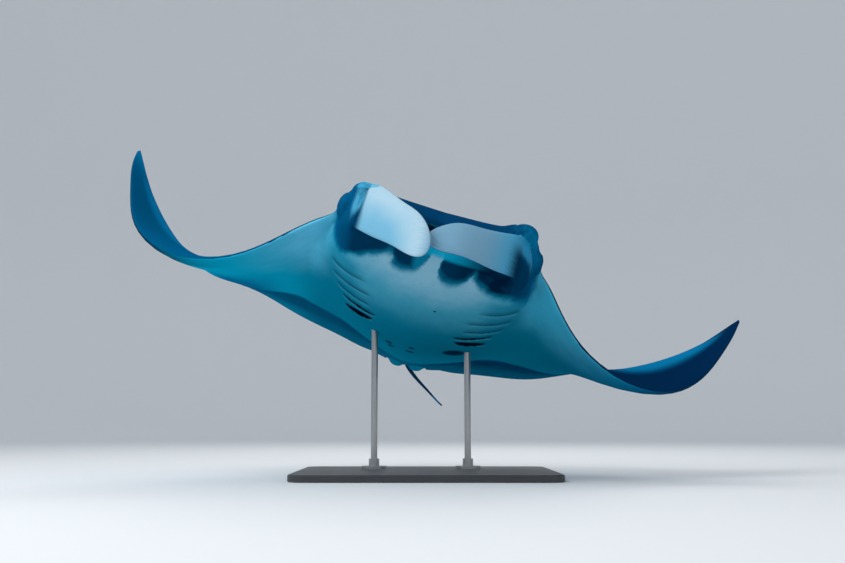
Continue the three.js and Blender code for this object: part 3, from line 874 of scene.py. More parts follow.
RIGHT_CEPHALIC = CephalicFin(
    side=-1,
    line=(
        (0.101, 0.035, -0.015), (0.091, 0.0, -0.028), (0.06, -0.035, -0.0584),
        (0.0329, -0.062, -0.0835), (0.0066, -0.078, -0.1155),
    ),
    across=(0.0, 0.0, 1.0), root_breadth=0.0289, far_breadth=0.024, squareness=2.02,
)
LEFT_CEPHALIC = CephalicFin(
    side=1,
    line=(
        (0.105, 0.035, -0.027), (0.095, 0.0, -0.04), (0.06, -0.03, -0.0573),
        (0.0264, -0.052, -0.0699), (-0.0094, -0.063, -0.0899),
    ),
    across=(0.0, 0.27, 0.96), root_breadth=0.0298, far_breadth=0.0246, squareness=2.32,
)


@dataclass(frozen=True)
class Swelling:
    """An ellipsoid that swells out of the body, such as the brow over an eye."""

    centre: Point
    radii: Point
    skin: Skin
    turn: float = 0.0
    edge: Point = (1.0, 1.0, 0.3)
    around: int = 32
    tall: int = 20

    def build(self) -> Shell:
        """Shapes a ball into the swelling.

        Returns:
            The swelling as a closed shell.
        """
        mesh = bmesh.new()
        add_ball(mesh, self.around, self.tall)
        spots = places(mesh.verts) * np.array(self.radii)
        c, s = math.cos(self.turn), math.sin(self.turn)
        spots = spots @ np.array([[c, s, 0], [-s, c, 0], [0, 0, 1]])
        flat = spots + np.array(self.centre)
        zone = np.tile(np.array(self.skin.value), (len(flat), 1))
        edge = np.tile(np.array(self.edge), (len(flat), 1))
        return Shell(mesh, flat, zone, edge).close(POSE.place)


SWELLINGS = {
    "right knob": Swelling((-0.0915, 0.014, -0.0075), (0.0205, 0.026, 0.013), Skin.BACK, -0.3),
    "right brow": Swelling((-0.1115, 0.038, -0.015), (0.0148, 0.03, 0.0155), Skin.BACK),
    "right pelvic": Swelling((-0.0148, 0.42, -0.0055), (0.0145, 0.03, 0.005), Skin.BELLY),
    "left knob": Swelling((0.0945, 0.014, -0.002), (0.018, 0.024, 0.0135), Skin.BACK, 0.3),
    "left brow": Swelling((0.1135, 0.047, -0.012), (0.0155, 0.024, 0.018), Skin.BACK),
    "left pelvic": Swelling((0.0148, 0.42, -0.0055), (0.0145, 0.03, 0.005), Skin.BELLY),
}


@dataclass(frozen=True)
class Tail:
    """The slender tail, trailing level behind the animal."""

    line: tuple[Point, ...] = (
        (0.0, 0.42, 0.0), (0.003, 0.455, 0.002), (0.02, 0.535, 0.022),
        (0.046, 0.63, 0.047), (0.071, 0.73, 0.075), (0.083, 0.79, 0.095),
    )
    across: Point = (1.0, 0.0, 0.0)
    root_radius: float = 0.004
    end_radius: float = 0.0014
    slimming: float = 0.7
    root_rounding: float = 0.01
    end_rounding: float = 0.015
    columns: int = 16
    rows: int = 90

    def radius(self, t: Array) -> Array:
        """Works out the tail's radius.

        Args:
            t: 0 at the root, 1 at the end.

        Returns:
            The radius at each place.
        """
        taper = smooth(t, 0, 1) ** self.slimming
        body = self.root_radius + taper * (self.end_radius - self.root_radius)
        past = np.clip((t - (1 - self.end_rounding)) / self.end_rounding, 0, 1)
        end = np.sqrt(np.clip(1 - past**2, 0, 1))
        return body * end * round_off(t, self.root_rounding)

    def build(self) -> Shell:
        """The tail as a closed shell."""
        form = (self.line, self.across, self.radius, self.radius, Skin.BACK, Skin.BACK)
        return Limb(*form, self.columns, self.rows).build()


@dataclass(frozen=True)
class DorsalFin:
    """The small fin at the root of the tail: rings stacked from foot to tip, leaning back."""

    back: float = 0.4
    length: float = 0.055
    height: float = 0.026
    foot: float = 0.003
    half_thickness: float = 0.0024
    tip_squareness: float = 2.2
    foot_rounding: float = 0.05
    lean: float = 0.42
    lean_curve: float = 1.3
    edge_thinning: float = 0.7
    columns: int = 36
    rows: int = 24

    def build(self) -> Shell:
        """Wraps the fin's skin.

        Returns:
            The fin as a closed shell.
        """
        mesh, column, row = unrolled_grid(self.columns, self.rows)
        t = row / self.rows
        angle = 2 * math.pi * (column % self.columns) / self.columns
        shape = np.sqrt(np.clip(1 - t**self.tip_squareness, 0, 1))
        shape = shape * round_off(t, self.foot_rounding)
        lean = self.lean * self.length * t**self.lean_curve
        y = self.back + lean + 0.5 * self.length * shape * np.cos(angle)
        x = self.half_thickness * shape**self.edge_thinning * np.sin(angle)
        z = self.foot + self.height * t
        flat = np.stack([x, y, z], axis=1)
        zone = np.tile(np.array(Skin.BACK.value), (len(flat), 1))
        return Shell(mesh, flat, zone, np.ones_like(flat)).close(POSE.place)


@dataclass(frozen=True)
class Cutters:
    """The shapes cut out of the skin: leaf-shaped gill slits and a bowl round each eye."""

    body: Shell
    depth: float = 0.011
    slant: float = 0.35
    shift: float = 0.0012
    blade_size: tuple[int, int] = (28, 14)
    socket_centre: Point = (0.1282, 0.045, -0.008)
    socket_radii: Point = (0.0052, 0.0078, 0.0058)
    socket_size: tuple[int, int] = (40, 24)

    def build(self) -> Mesh:
        """Makes the cutters of both sides.

        Returns:
            All of them in one mesh.
        """
        mesh = bmesh.new()
        for side in (-1, 1):
            self.add_socket(mesh, side)
            for slit in GILLS:
                self.add_blade(mesh, side, slit)
        bmesh.ops.recalc_face_normals(mesh, faces=mesh.faces)
        return mesh

    def belly_at(self, x: Array, y: Array) -> Array:
        """Finds the belly's skin.

        Args:
            x: distances from the midline.
            y: distances back.

        Returns:
            The height of the belly's nearest point to each place.
        """
        belly = self.body.flat[(self.body.zone[:, 0] == 0) & (self.body.zone[:, 1] == 0)]
        spots = np.stack([x, y], axis=1)
        gaps = [np.square(belly[:, :2] - spot).sum(axis=1) for spot in spots]
        return belly[[np.argmin(gap) for gap in gaps], 2]

    def add_socket(self, mesh: Mesh, side: int) -> None:
        """Adds the bowl that opens the skin round one eye.

        Args:
            mesh: the mesh that takes it.
            side: -1 for the animal's right, 1 for its left.
        """
        verts = add_ball(mesh, *self.socket_size)
        flat = places(verts) * np.array(self.socket_radii) + np.array(self.socket_centre)
        flat[:, 0] *= side
        set_places(verts, pose_animal(flat))

    def add_blade(self, mesh: Mesh, side: int, slit: GillSlit) -> None:
        """Adds one blade.

        Args:
            mesh: the mesh that takes it.
            side: -1 for the animal's right, 1 for its left.
            slit: the slit that it cuts.
        """
        verts = add_ball(mesh, *self.blade_size)
        ball = places(verts)
        middle = (slit.outer[0] + slit.inner[0]) / 2
        half = (slit.outer[0] - slit.inner[0]) / 2
        x = middle + half * ball[:, 0]
        y = slit.line(x) + slit.width / 2 * ball[:, 1] + self.shift
        z = self.belly_at(x, y) + self.depth * ball[:, 2]
        y = y + self.slant * self.depth * ball[:, 2]
        set_places(verts, pose_animal(np.stack([side * x, y, z], axis=1)))


# ------------------------------------------------------------------ the skin


@dataclass
class MantaSkin:
    """The whole animal's skin as one closed mesh."""

    nodes: tuple[str, ...] = (
        "head", "lower_jaw", "trunk", "pectoral_fin_right", "pectoral_fin_left",
        "pectoral_tip_right", "pectoral_tip_left", "cephalic_fin_right",
        "cephalic_fin_left", "dorsal_fin", "pelvic_fin_right", "pelvic_fin_left",
        "tail_root", "tail_middle", "tail_end",
    )
    weld: float = 5e-5
    seam_reach: float = 0.018
    seam_rounds: int = 14
    seam_pull: float = 0.5
    cut_reach: float = 2e-4
    cut_depth: float = 5e-4
    parts: list[Shell] = field(default_factory=list)

    def limbs(self) -> list[Shell]:
        """Everything that grows out of the body, in the order in which it is joined."""
        grown = [RIGHT_CEPHALIC, LEFT_CEPHALIC, *SWELLINGS.values(), DorsalFin(), Tail()]
        return [limb.build() for limb in grown]

    def build(self) -> Thing:
        """Joins the body and limbs, cuts the gills, softens the seams and dresses the skin.

        Returns:
            The skin, linked to the scene.
        """
        body = BodyShell().build()
        loose = sum(not edge.is_manifold for edge in body.mesh.edges)
        log.info("body shell: %d faces, %d loose edges", len(body.mesh.faces), loose)
        self.parts = [body, *self.limbs()]
        joined = body.mesh.copy()
        for part in self.parts[1:]:
            joined = combine(joined, part.mesh, Join.ADD)
        cutters = Cutters(body).build()
        joined = combine(joined, cutters, Join.CUT)
        bmesh.ops.remove_doubles(joined, verts=joined.verts, dist=self.weld)
        bmesh.ops.dissolve_degenerate(joined, dist=SLIVER, edges=joined.edges)
        self.soften_seams(joined)
        self.paint_layers(joined, cutters)
        skin = to_object(joined, "manta_skin")
        dress(skin, SkinFinish().material())
        return skin

    def trees(self) -> list[BVHTree]:
        """A search tree for each part."""
        return [BVHTree.FromBMesh(part.mesh) for part in self.parts]

    def soften_seams(self, mesh: Mesh) -> None:
        """Smooths the skin where a limb meets the body.

        Args:
            mesh: the joined skin.
        """
        trees = self.trees()
        near = []
        for vertex in mesh.verts:
            spots = [tree.find_nearest(vertex.co, self.seam_reach)[0] for tree in trees]
            if sum(spot is not None for spot in spots) > 1:
                near.append(vertex)
        axes = dict.fromkeys(("use_axis_x", "use_axis_y", "use_axis_z"), True)
        for _ in range(self.seam_rounds):
            bmesh.ops.smooth_vert(mesh, verts=near, factor=self.seam_pull, **axes)
        log.info("softened %d vertices along the seams", len(near))

    def paint_layers(self, mesh: Mesh, cutters: Mesh) -> None:
        """Carries the flat place and zone of the nearest part over to the joined skin.

        Args:
            mesh: the joined skin.
            cutters: the blades that cut the gill slits.
        """
        layers = mesh.verts.layers.float_vector
        targets = [layers.get(name) or layers.new(name) for name in LAYERS]
        trees = self.trees()
        cut_tree = BVHTree.FromBMesh(cutters)
        sources = []
        for part in self.parts:
            part.mesh.faces.ensure_lookup_table()
            sources.append([part.mesh.verts.layers.float_vector[name] for name in LAYERS])
        for vertex in mesh.verts:
            hits = [tree.find_nearest(vertex.co) for tree in trees]
            best = min(range(len(hits)), key=lambda i: hits[i][3])
            spot, _, face_index, distance = hits[best]
            face = self.parts[best].mesh.faces[face_index]
            weights = poly_3d_calc([corner.co for corner in face.verts], spot)
            for target, source in zip(targets, sources[best], strict=True):
                total = Vector((0.0, 0.0, 0.0))
                for weight, corner in zip(weights, face.verts, strict=True):
                    total += weight * corner[source]
                vertex[target] = total
            cut = cut_tree.find_nearest(vertex.co)[3]
            if cut < self.cut_reach and distance > self.cut_depth:
                vertex[targets[1]] = Vector(Skin.HOLLOW.value)


# ------------------------------------------------------------------ shader sums


def adds_node(operation: str, reflected: bool = False) -> Callable[..., "Value"]:
    """Makes one of Value's operators.

    Args:
        operation: the Math node's operation.
        reflected: true if the plain number stands first.

    Returns:
        The operator.
    """

    def apply(value: "Value", other: "Value | float") -> "Value":
        """Adds the Math node."""
        return value.math(operation, *((other, value) if reflected else (value, other)))

    return apply


class Value:
    """A number that varies over a surface: a sum written with it adds Math nodes.

    The signs | and & give the larger and the smaller of two masks.
    """

    __add__ = adds_node("ADD")
    __radd__ = adds_node("ADD", reflected=True)
    __sub__ = adds_node("SUBTRACT")
    __rsub__ = adds_node("SUBTRACT", reflected=True)
    __mul__ = adds_node("MULTIPLY")
    __rmul__ = adds_node("MULTIPLY", reflected=True)
    __truediv__ = adds_node("DIVIDE")
    __rtruediv__ = adds_node("DIVIDE", reflected=True)
    __or__ = adds_node("MAXIMUM")
    __ror__ = adds_node("MAXIMUM", reflected=True)
    __and__ = adds_node("MINIMUM")
    __rand__ = adds_node("MINIMUM", reflected=True)

    def __init__(self, graph: "Graph", socket: Socket) -> None:
        """Wraps an output socket of the graph."""
        self.graph = graph
        self.socket = socket

    def math(self, operation: str, *terms: "Value | float") -> "Value":
        """Adds one Math node.

        Args:
            operation: the node's operation.
            terms: the values of its sockets, in order.

        Returns:
            The node's result.
        """
        inputs = dict(enumerate(terms))
        node = self.graph.node("ShaderNodeMath", {"operation": operation}, inputs)
        return Value(self.graph, node.outputs[0])

    def __abs__(self) -> "Value":
        """Size without the sign."""
        return self.math("ABSOLUTE", self)

    def root(self) -> "Value":
        """Square root."""
        return self.math("SQRT", self)

    def sway(self, size: float) -> "Value":
        """A noise between 0 and 1 turned into a swing round 0."""
        return (self - 0.5) * size

    def step(self, limits: tuple["Value | float", "Value | float"]) -> "Value":
        """Smooth step between two values, which falls instead when the first is higher.

        Args:
            limits: the value where the step is 0 and the value where it is 1.

        Returns:
            The step.
        """
        settings = {"interpolation_type": "SMOOTHSTEP"}
        inputs = {"Value": self, "From Min": limits[0], "From Max": limits[1]}
        return Value(self.graph, self.graph.node("ShaderNodeMapRange", settings, inputs).outputs[0])


Source = Value | Socket | float | tuple[float, ...]


@dataclass(frozen=True)
class Graph:
    """The nodes of one material."""

    material: Material

    def node(
        self, kind: str, settings: dict | None = None, inputs: dict | None = None
    ) -> bpy.types.Node:
        """Adds one node.

        Args:
            kind: the node's type.
            settings: its settings, set first; "stops" gives a ramp's places and heights.
            inputs: the values or links of its sockets.

        Returns:
            The node.
        """
        node = self.material.node_tree.nodes.new(kind)
        for name, setting in (settings or {}).items():
            if name == "stops":
                self.set_stops(node.color_ramp, setting)
            else:
                setattr(node, name, setting)
        self.feed(node, inputs or {})
        return node

    def feed(self, node: bpy.types.Node, inputs: dict[int | str, Source]) -> None:
        """Gives a node's sockets their values or links.

        Args:
            node: the node.
            inputs: a value or a link for each socket.
        """
        for key, source in inputs.items():
            link = source.socket if isinstance(source, Value) else source
            if isinstance(link, Socket):
                self.material.node_tree.links.new(link, node.inputs[key])
            else:
                node.inputs[key].default_value = link

    def set_stops(self, ramp: bpy.types.ColorRamp, stops: Sequence[Span]) -> None:
        """Gives a ramp its grey stops.

        Args:
            ramp: the ramp.
            stops: the stops' places and heights, from left to right.
        """
        while len(ramp.elements) > 1:
            ramp.elements.remove(ramp.elements[-1])
        ramp.elements[0].position = stops[0][0]
        for place, _ in stops[1:]:
            ramp.elements.new(place)
        for element, (_, height) in zip(ramp.elements, stops, strict=True):
            element.color = (height, height, height, 1)

    def finish(self, looks: dict[str, Source]) -> Material:
        """The finished material, with values or links for its shader's sockets."""
        self.feed(self.material.node_tree.nodes["Principled BSDF"], looks)
        return self.material

    def bump(self, relief: Value, strength: float, depth: float) -> Socket:
        """The normal of a surface with a fine relief."""
        inputs = {"Strength": strength, "Distance": depth, "Height": relief}
        return self.node("ShaderNodeBump", None, inputs).outputs[0]

    def attribute(self, name: str) -> tuple[Socket, list[Value]]:
        """A vector layer of the mesh, whole and as its three numbers."""
        vector = self.node("ShaderNodeAttribute", {"attribute_name": name}).outputs["Vector"]
        return vector, self.split(vector)

    def place(self) -> Socket:
        """The object's own coordinates."""
        return self.node("ShaderNodeTexCoord").outputs["Object"]

    def split(self, vector: Socket) -> list[Value]:
        """The three numbers of a vector."""
        node = self.node("ShaderNodeSeparateXYZ", None, {0: vector})
        return [Value(self, socket) for socket in node.outputs]

    def stretch(self, vector: Socket, scale: Point) -> Socket:
        """A vector multiplied by a scale along each axis."""
        node = self.node("ShaderNodeVectorMath", {"operation": "MULTIPLY"}, {0: vector, 1: scale})
        return node.outputs[0]

    def noise(self, vector: Socket, scale: float, detail: float = 3.0) -> Value:
        """Noise between 0 and 1 round 0.5."""
        inputs = {"Vector": vector, "Scale": scale, "Detail": detail}
        return Value(self, self.node("ShaderNodeTexNoise", None, inputs).outputs[0])

    def mix(self, share: Source, first: Source, second: Source) -> Socket:
        """Turns one colour into another.

        Args:
            share: 0 for the first colour, 1 for the second.
            first: a colour.
            second: another colour.

        Returns:
            The mixed colour.
        """
        colours = [(*c, 1.0) if isinstance(c, tuple) else c for c in (first, second)]
        inputs = {0: share, 6: colours[0], 7: colours[1]}
        return self.node("ShaderNodeMix", {"data_type": "RGBA"}, inputs).outputs[2]

    def ellipse(self, vector: Socket, centre: Span, radii: Span) -> Value:
        """Measures how far out places are in an ellipse on the flat body.

        Args:
            vector: places on the flat body.
            centre: the ellipse's centre.
            radii: its radii.

        Returns:
            0 at the centre, 1 on the outline.
        """
        inputs = {"Vector": vector, "Location": (*centre, 0.0), "Scale": (*radii, ENDLESS)}
        mapped = self.node("ShaderNodeMapping", {"vector_type": "TEXTURE"}, inputs).outputs[0]
        node = self.node("ShaderNodeVectorMath", {"operation": "LENGTH"}, {0: mapped})
        return Value(self, node.outputs["Value"])


def new_graph(name: str) -> Graph:
    """Starts a material with its own shader.

    Args:
        name: the material's name.

    Returns:
        Its graph.
    """
    material = bpy.data.materials.new(name)
    material.use_nodes = True
    return Graph(material)


def dress(piece: Thing, material: Material) -> None:
    """Gives a piece its only material."""
    piece.data.materials.clear()
    piece.data.materials.append(material)


# ------------------------------------------------------------------ skin finish


@dataclass(frozen=True)
class SkinColours:
    """The colours of the living skin, several with painted water light and shade in them."""

    back: Colour = (0.003, 0.032, 0.078)
    back_worn: Colour = (0.006, 0.055, 0.115)
    head_top: Colour = (0.001, 0.05, 0.14)
    shoulder: Colour = (0.46, 0.53, 0.56)
    # The belly is white; its teal is painted water light, paler at the throat, with painted shade
    # towards the rear
    throat_lit: Colour = (0.26, 0.54, 0.69)
    belly_front: Colour = (0.06, 0.37, 0.53)
    belly_shade_and_mottle: Colour = (0.001, 0.215, 0.35)
    # painted shade over the gills and painted highlight on their folds
    gill_shade: Colour = (0.001, 0.21, 0.34)
    gill_fold_highlight: Colour = (0.08, 0.45, 0.6)
    # painted light: the belly paler at the wings' roots, less so on the left
    wing_root: Colour = (0.13, 0.59, 0.83)
    wing_root_left: Colour = (0.055, 0.52, 0.75)
    # painted water light on the outer wings, then painted shade on the right wing's rear and the
    # left wing
    wing_outer: Colour = (0.001, 0.37, 0.57)
    wing_rear_shade: Colour = (0.001, 0.15, 0.31)
    wing_far_left_shade: Colour = (0.001, 0.09, 0.22)
    fin_face: Colour = (0.41, 0.58, 0.68)
    fin_shade: Colour = (0.12, 0.39, 0.57)
    # painted shade: the left fin's face darker all over, darker still towards its root and in its
    # streaks
    fin_left: Colour = (0.19, 0.37, 0.51)
    fin_left_root: Colour = (0.06, 0.33, 0.53)
    mark: Colour = (0.0004, 0.015, 0.047)
    # painted light on the dark marks, also the colour of their random lighter clouds
    mark_lit_and_clouded: Colour = (0.001, 0.105, 0.245)
    mark_edge: Colour = (0.003, 0.205, 0.345)
    # painted light on the top of the left knob
    knob: Colour = (0.003, 0.25, 0.46)
    # painted shadow of the left cephalic fin on the lower lip
    lip: Colour = (0.003, 0.4, 0.62)
    cheek: Colour = (0.08, 0.41, 0.63)
    # painted light on the top of the right knob
    cap: Colour = (0.05, 0.37, 0.58)
    temple: Colour = (0.035, 0.31, 0.56)
    band: Colour = (0.001, 0.075, 0.17)
    band_left: Colour = (0.0005, 0.045, 0.125)
    # near black in the mouth's lining, and painted shade on the walls of the gill slits and eye
    # sockets
    hollow: Colour = (0.002, 0.014, 0.036)
    # painted light and shade: the right tip's back lit blue, the left's shaded navy; then the
    # painted sheen
    tip_right: Colour = (0.0005, 0.1, 0.23)
    tip_left: Colour = (0.0008, 0.022, 0.075)
    tip_sheen: Colour = (0.003, 0.2, 0.42)


HUES = SkinColours()


class SkinPoint:
    """What the skin's marks are worked out from: places, zones, edges and noises."""

    MIDLINE: Span = (-0.02, 0.02)
    DRIFT: float = 0.05
    STREAKED: Point = (1, 0.25, 1)
    STRANDED: Point = (1, 1, 0.25)
    GRAINED: Point = (0.35, 0.35, 2.4)

    def __init__(self, graph: Graph) -> None:
        """Adds the nodes that read the mesh's layers and the noises.

        Args:
            graph: the skin's nodes.
        """
        self.graph = graph
        self.flat, (self.x, self.y, self.z) = graph.attribute("flat")
        _, (self.back, self.hollow, self.fin) = graph.attribute("zone")
        _, (self.front, self.rear, self.station) = graph.attribute("edge")
        self.reach = abs(self.x)
        self.left = self.x.step(self.MIDLINE)
        self.cloud = graph.noise(self.flat, scale=22)
        self.drift = self.cloud.sway(self.DRIFT)
        self.mottle = graph.noise(self.flat, scale=90, detail=5)
        self.streak = graph.noise(graph.stretch(self.flat, self.STREAKED), scale=190)
        self.strands = graph.noise(graph.stretch(self.flat, self.STRANDED), scale=200)
        self.grain = graph.noise(graph.stretch(self.flat, self.GRAINED), scale=260)


@dataclass(frozen=True)
class DarkSkin:
    """The colour of the dark marks: near black, with painted light in blue on the head's sides and
    random clouds.
    """

    right_side: Span = (-0.085, -0.11)
    left_side: Span = (0.088, 0.105)
    middle: Span = (0.055, 0.02)
    up: Span = (-0.055, -0.01)
    clouds: Span = (0.45, 0.75)
    cloud_scale: float = 60
    right_blue: Span = (0.55, 0.4)
    left_blue: Span = (0.3, 0.5)
    middle_blue: float = 0.25
    cloud_blue: float = 0.3

    def colour(self, at: SkinPoint) -> Socket:
        """Mixes the colour.

        Args:
            at: the skin's measures.

        Returns:
            The colour.
        """
        # painted light: bluer on the head's sides, most higher up, and over its right half
        high = at.z.step(self.up)
        right = at.x.step(self.right_side) * (high * self.right_blue[1] + self.right_blue[0])
        left = at.x.step(self.left_side) * (high * self.left_blue[1] + self.left_blue[0])
        clouds = at.graph.noise(at.flat, self.cloud_scale).step(self.clouds) * self.cloud_blue
        blue = right | at.x.step(self.middle) * self.middle_blue | left | clouds
        return at.graph.mix(blue, HUES.mark, HUES.mark_lit_and_clouded)


@dataclass(frozen=True)
class JawMarks:
    """The dark cheeks, the row of dark patches behind the lower lip, and the lip in painted shadow.

    The patches' rear edge is given from right to left, as places across and limits back.
    """

    edge: tuple[Span, ...] = (
        (-0.145, 0.0), (-0.122, 0.078), (-0.11, 0.086), (-0.0983, 0.092), (-0.0808, 0.07),
        (-0.066, 0.051), (-0.0537, 0.041), (-0.046, 0.032), (-0.0405, 0.033),
        (-0.037, 0.045), (-0.031, 0.052), (-0.0225, 0.053), (-0.0117, 0.0485),
        (-0.0045, 0.04), (0.001, 0.025), (0.005, 0.0), (0.0145, 0.0), (0.0185, 0.036),
        (0.022, 0.046), (0.03, 0.0535), (0.04, 0.0555), (0.0475, 0.052), (0.053, 0.042),
        (0.058, 0.031), (0.067, 0.045), (0.0903, 0.0645),
        (0.1168, 0.079), (0.14, 0.098), (0.1521, 0.107), (0.165, 0.09), (0.175, 0.0),
    )
    reach: float = 0.18
    skew: float = 0.18
    scale: float = 0.12
    drift: float = 0.012
    drift_scale: float = 75
    rag: float = 0.006
    cheek_reach: float = 0.121
    cheek_slope: float = 0.12
    cheek_front: Span = (0.066, 0.05)
    cheek_widening: float = 0.02
    cheek_fade: Span = (-0.005, 0.005)
    rim_fade: Span = (-0.014, 0.001)
    core_fade: Span = (-0.006, 0.011)
    gap_right: Span = (-0.025, -0.016)
    gap_left: Span = (0.004, 0.0)
    lip_back: Span = (0.0265, 0.0225)
    lip_right: Span = (-0.014, -0.009)
    lip_left: Span = (0.075, 0.0)

    def masks(self, at: SkinPoint) -> tuple[Value, Value]:
        """Works out the patches, feathered backwards.

        Args:
            at: the skin's measures.

        Returns:
            The mask of the patches with their pale rims, and that of their dark middles.
        """
        width = 2 * self.reach
        stops = [((place + self.reach) / width, limit / self.scale) for place, limit in self.edge]
        drift = at.graph.noise(at.flat, self.drift_scale).sway(self.drift)
        along = (at.x + at.y * self.skew + drift + self.reach) / width
        ramp = at.graph.node("ShaderNodeValToRGB", {"stops": stops}, {0: along})
        limit = Value(at.graph, ramp.outputs[0]) * self.scale
        rag = at.streak.sway(self.rag)
        widening = at.y.step(self.cheek_front) * self.cheek_widening
        outline = at.y * self.cheek_slope + self.cheek_reach + widening
        outer = (outline - at.reach + rag).step(self.cheek_fade)
        inside = limit - at.y + rag
        return inside.step(self.rim_fade) * outer, inside.step(self.core_fade) * outer

    def over(self, at: SkinPoint, skin: Socket, dark: Socket) -> Socket:
        """Puts the marks on the belly.

        Args:
            at: the skin's measures.
            skin: the belly's colour.
            dark: the colour of the patches' middles.

        Returns:
            The marked belly's colour.
        """
        # near the middle the patches also take in painted shadow of the cephalic fins' tips on the
        # chin
        rim, core = self.masks(at)
        skin = at.graph.mix(rim, skin, HUES.mark_edge)
        gap = at.x.step(self.gap_right) * at.x.step(self.gap_left)
        skin = at.graph.mix(core & (1 - gap), skin, dark)
        # painted shadow of the left cephalic fin on the lower lip
        lip = at.y.step(self.lip_back) * at.x.step(self.lip_right) * at.x.step(self.lip_left)
        return at.graph.mix(lip, skin, HUES.lip)


@dataclass(frozen=True)
class GillMarks:
    """The gill slits' dark lines and the shade in front of them, painted shade, and the folds
    behind, painted highlights.
    """

    outer_end: Span = (-0.08, 0.12)
    inner_end: Span = (1.1, 0.8)
    line_shift: float = 0.0006
    line_fade: Span = (0.0016, 0.0004)
    line_strength: float = 0.8
    shade_front: Span = (-0.013, 0.0)
    shade_back: Span = (0.003, 0.001)
    shade_strength: float = 0.45
    fold_front: Span = (0.0005, 0.005)
    fold_back: Span = (0.014, 0.006)
    fold_strength: float = 0.3

    def over(self, at: SkinPoint, skin: Socket) -> Socket:
        """Puts the marks on the belly.

        Args:
            at: the skin's measures.
            skin: the belly's colour.

        Returns:
            The marked belly's colour.
        """
        marks, folds = [], []
        for slit in GILLS:
            t = (slit.outer[0] - at.reach) / (slit.outer[0] - slit.inner[0])
            bow = t * (1 - t) * (slit.bow * 4)
            behind = at.y - (t * (slit.inner[1] - slit.outer[1]) + slit.outer[1] + bow)
            ends = t.step(self.outer_end) * t.step(self.inner_end)
            # painted shade: the slit's dark line and the darkening in front of it
            line = abs(behind - self.line_shift).step(self.line_fade) * self.line_strength
            shade = behind.step(self.shade_front) * behind.step(self.shade_back)
            marks.append((line | shade * self.shade_strength) * ends)
            # painted highlight on the fold behind the slit
            folds.append(behind.step(self.fold_front) * behind.step(self.fold_back) * ends)
        skin = at.graph.mix(reduce(or_, folds) * self.fold_strength, skin, HUES.gill_fold_highlight)
        return at.graph.mix(reduce(or_, marks), skin, HUES.mark)


@dataclass(frozen=True)
class Spots:
    """The small dark spots of the belly, each a centre and two radii."""

    ovals: tuple[tuple[float, float, float, float], ...] = (
        (-0.03, 0.298, 0.0052, 0.007), (-0.026, 0.318, 0.005, 0.006),
        (0.003, 0.28, 0.0038, 0.006), (0.002, 0.312, 0.0065, 0.0055),
        (0.02, 0.121, 0.0018, 0.0018), (0.061, 0.273, 0.0145, 0.018),
    )
    fade: Span = (1.25, 0.8)
    strength: float = 0.92

    def over(self, at: SkinPoint, skin: Socket) -> Socket:
        """Puts the spots on the belly.

        Args:
            at: the skin's measures.
            skin: the belly's colour.

        Returns:
            The spotted belly's colour.
        """
        for x, y, half_x, half_y in self.ovals:
            inside = at.graph.ellipse(at.flat, (x, y), (half_x, half_y)).step(self.fade)
            skin = at.graph.mix(inside * self.strength, skin, HUES.mark)
        return skin


